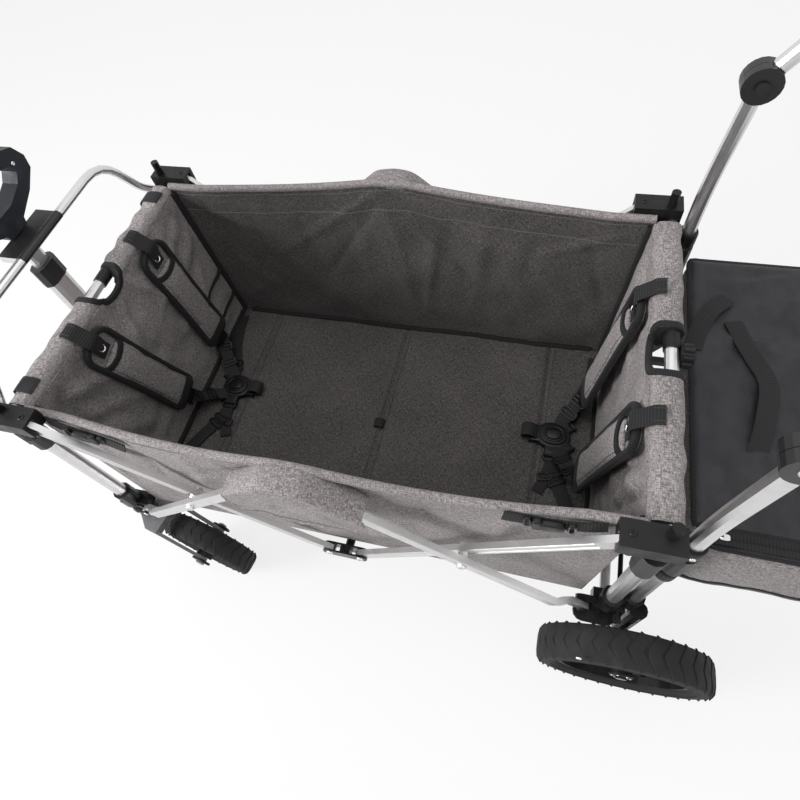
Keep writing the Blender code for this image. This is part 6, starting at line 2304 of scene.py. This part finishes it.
@dataclass
class StorageBag(Assembly):
    """Soft bag behind the basket: bound flap, zips, grey sides and loops round the legs."""

    middle_x: float = 0.5858
    half: Pair = (0.1125, 0.232)
    corner: float = 0.024
    top_z: float = 0.535
    flap_y: Pair = (-0.198, 0.222)
    thick: float = 0.0014
    points_round: int = 132
    grey_rows: tuple[int, int] = (6, 17)
    upright_rows: tuple[int, int] = (4, 17)
    flap_folds: int = 14
    # Distance inside the side, and height, of each ring from the underside's middle to the top's
    levels: tuple[Pair, ...] = (
        (0.070, 0.4085), (0.040, 0.4080), (0.016, 0.4088), (0.006, 0.4112), (0.0012, 0.4165),
        (0.0, 0.424), (0.0, 0.430), (-0.0008, 0.440), (-0.0022, 0.452), (-0.0030, 0.464),
        (-0.0030, 0.476), (-0.0022, 0.488), (-0.0010, 0.498), (0.0, 0.508), (0.0002, 0.514),
        (0.0008, 0.522), (0.0030, 0.529), (0.0080, 0.5330), (0.020, 0.5325), (0.045, 0.5290),
        (0.085, 0.5270))

    def build(self) -> None:
        """Make the bag."""
        obj = add_piece("bag", self._shell() + self._flap() + self._straps(), "rear_frame",
                        ["storage_bag"])
        repaint(obj, self.finishes.melange, *(row * self.points_round for row in self.grey_rows))

    def _ring(self, inset: float, z: float) -> Array:
        """Rounded rectangle round the bag.

        Args:
            inset: Distance inside the bag's side.
            z: Height of the ring.

        Returns:
            The ring's points.
        """
        a, b = self.half[0] - inset, self.half[1] - inset
        r = max(self.corner - inset, 0.008)
        loop = [(x_sign * (a - r) + r * cos(angle), y_sign * (b - r) + r * sin(angle), 0)
                for x_sign, y_sign, start in CORNERS for angle in np.linspace(start, start + pi / 2, 8)]
        path = np.array(loop + loop[:1])
        gone = gone_along(path)
        ring = between(np.linspace(0, gone[-1], self.points_round + 1)[:-1], gone, path)
        return ring + (self.middle_x, 0, z)

    def _shell(self) -> list[Part]:
        """Outer and inner face of the cloth, with its sides, underside and top, and its bindings.

        Returns:
            The faces and bindings.
        """
        f = self.finishes
        rings = np.stack([self._ring(*level) for level in self.levels])
        gone = np.linspace(0, 2 * (2 * self.half[0] + 2 * self.half[1]), self.points_round + 1)
        uv = np.stack(np.meshgrid(gone, gone_along(np.array(self.levels))), -1)
        away = unit((rings - (self.middle_x, 0, 0)) * (1, 1, 0))
        soft = relief(uv[:, :-1, 0], uv[:, :-1, 1], [Ripples(0.0016, 0.11, 91), Ripples(0.0006, 0.04, 92)])
        low, high = self.upright_rows
        share = np.array([1.0 if low <= k < high else 0.25 for k in range(len(rings))])[:, None]
        rings = rings + away * np.clip(soft * share, -0.0035, 0.0030)[..., None]
        inside = rings - away * self.thick
        inside[:low, :, 2] += self.thick
        inside[high:, :, 2] -= self.thick
        parts = [(lattice(rings, uv, ring=True, caps=True), f.nylon),
                 (lattice(inside, uv, ring=True, caps=True).turned_over(), f.nylon)]
        for row in self.grey_rows:
            loop, out = (np.concatenate([a[row], a[row][:1]]) for a in (rings, away))
            parts.append((swept(loop, superoval(0.0044, 0.0040, 2.4, 8), out, closed=True), f.binding))
        return parts

    def _flap(self) -> list[Part]:
        """Bound flap on top with soft wrinkles, the zip beside it and its far zip.

        Returns:
            The flap and zips.
        """
        f, (low_y, high_y) = self.finishes, self.flap_y
        x0, x1 = self.middle_x - self.half[0] + 0.003, self.middle_x + self.half[0] - 0.003
        layers = [Ripples(0.0024, 0.11, 81), Ripples(0.0011, 0.045, 82)]
        draw = np.random.default_rng(83)
        for _ in range(self.flap_folds):
            start = (draw.uniform(x0, x1), draw.uniform(low_y, high_y))
            angle = draw.uniform(-0.5, 0.9)
            end = (start[0] + 0.09 * cos(angle), start[1] + 0.11 * sin(angle) + 0.02)
            layers.append(Fold(start, end, draw.uniform(0.0022, 0.0046), draw.uniform(0.005, 0.010)))

        def place(across: Array, up: Array) -> Array:
            """Points of the flap at shares across and up.

            Args:
                across: Shares across, from 0 to 1.
                up: Shares of the height, from 0 to 1.

            Returns:
                Points.
            """
            x, y = x0 + across * (x1 - x0), low_y + up * (high_y - low_y)
            edge = np.minimum(np.minimum(x - x0, x1 - x), np.minimum(y - low_y, high_y - y))
            sag = 0.0055 * np.sin(pi * across) * np.sin(pi * up)
            wrinkles = np.clip(edge / 0.03, 0, 1) * np.maximum(relief(x, y, layers), -0.0012)
            z = self.top_z + 0.0022 - sag + wrinkles - 0.0040 * np.clip(1 - edge / 0.012, 0, 1) ** 2
            return xyz(x, y, z)

        points, uv = grid_of(place, 61, 101, (x1 - x0, high_y - low_y))
        edge = np.concatenate([points[0], points[1:, -1], points[-1, -2::-1], points[-2:0:-1, 0]])
        loop = smooth_path(edge[::3], 0.006, closed=True)
        bound = swept(loop, superoval(0.0090, 0.0042, 3.0, 10), TURNED_UP, closed=True)
        parts = [(cloth(points, uv, 0.0022), f.nylon), (bound, f.binding)]
        tooth = solid_of([(0, 0), (0.0012, 0), (0.0012, 0.0008), (0.0006, 0.0012), (0, 0.0012)],
                         Matrix.Identity(4), 6)
        for y, z, wide in ((low_y - 0.012, self.top_z + 0.0002, 0.0180),
                           (high_y + 0.0022, self.top_z - 0.0030, 0.0060)):
            line = xyz(np.linspace(x0 + 0.004, x1 - 0.004, 60), y, z)
            parts.append((swept(line, superoval(wide, 0.0016, 4.0, 10), TURNED_UP), f.webbing))
            teeth = smooth_path(line + (0, 0, 0.0007), 0.0027)
            parts.append(self.repeat.on_spots(tooth, f.plastic, teeth, TURNED_UP))
        pull = Matrix.Translation((x0 + 0.030, low_y - 0.012, self.top_z + 0.0020))
        tag = pull @ Matrix.Translation((-0.014, 0.001, 0.0008))
        return parts + [
            (rounded_plate([superoval(0.012, 0.008, 3.5, 20)], 0.0030, 0.0012, pull), f.steel),
            (rounded_plate([superoval(0.026, 0.0060, 3.5, 20)], 0.0018, 0.0008, tag), f.plastic)]

    def _straps(self) -> list[Part]:
        """Loops round the legs and the webbing that lies on the flap.

        Returns:
            The loops and webbing.
        """
        f, parts = self.finishes, []
        angle = np.linspace(0, 2 * pi, 33)
        for side in Side:
            loop = xyz(0.4640 + 0.0128 * np.cos(angle),
                       side.value * 0.2368 + 0.0128 * np.sin(angle), 0.4625)
            parts.append((swept(loop, superoval(0.0024, 0.025, 4.0, 10), TURNED_UP, closed=True),
                          f.webbing))
        for strap, step in ((((0.530, 0.106, -0.002), (0.534, 0.092, 0), (0.5420, 0.066, 0.0015),
                              (0.5535, 0.040, 0.001), (0.5650, 0.015, 0), (0.5665, -0.012, 0),
                              (0.5570, -0.062, 0), (0.5463, -0.099, -0.001)), 0.005),
                            (((0.476, 0.052, -0.002), (0.484, 0.082, 0.001), (0.500, 0.118, 0.003),
                              (0.524, 0.146, 0)), 0.004)):
            lying = [(x, y, self.top_z + 0.0048 + lift) for x, y, lift in strap]
            parts.append((tape(lying, 0.0245, 0.0022, step=step), f.webbing))
        return parts


@dataclass
class PullHandle(Assembly):
    """Draw handle at the front: tube with collar, stem and loop grip."""

    x: float = -0.510
    rivets_z: Pair = (0.470, 0.535)
    rivet: Point = (0.0050, 0.0018, 0.0020)
    screw: Point = (0.0030, 0.0012, 0.0016)
    screws_at: Pair = (0.066, 0.7690)

    def build(self) -> None:
        """Dress the handle and add its rivets and screws."""
        f = self.finishes
        f.dress(TubeAndPlastic("draw_tube", Region.ABOVE, 0.600).material(), "draw_tube")
        f.dress(f.stem, "draw_stem")
        f.dress(f.grip, "handle_grip")
        rivets = [(self.x - 0.0097, 0, z) for z in self.rivets_z]
        made = self.repeat.screws(self.rivet, f.plastic, rivets, (-1, 0, 0), (0, 0, 1))
        add_piece("draw_tube_rivets", [made], "pull_handle")
        y, z = self.screws_at
        ways = [(sign, side.value * y) for sign in (-1, 1) for side in Side]
        made = self.repeat.screws(self.screw, f.steel,
                                  [(self.x + sign * 0.0138, place_y, z) for sign, place_y in ways],
                                  [(sign, 0, 0) for sign, _ in ways], (0, 0, 1))
        add_piece("grip_screws", [made], "handle_stem")


def main() -> None:
    """Build the wagon's looks in order."""
    logging.basicConfig(level=logging.INFO, format="%(name)s: %(message)s")
    Studio().build()
    finishes, repeat = Finishes(), Repeat()
    for part in (Basket, Harness, SideTrim, ScissorArms, CornerFittings, RunningGear, PushEnd, StorageBag,
                 PullHandle):
        part(finishes, repeat).build()
        JOB.info("%s done", part.__name__)


if __name__ == "__main__":
    main()
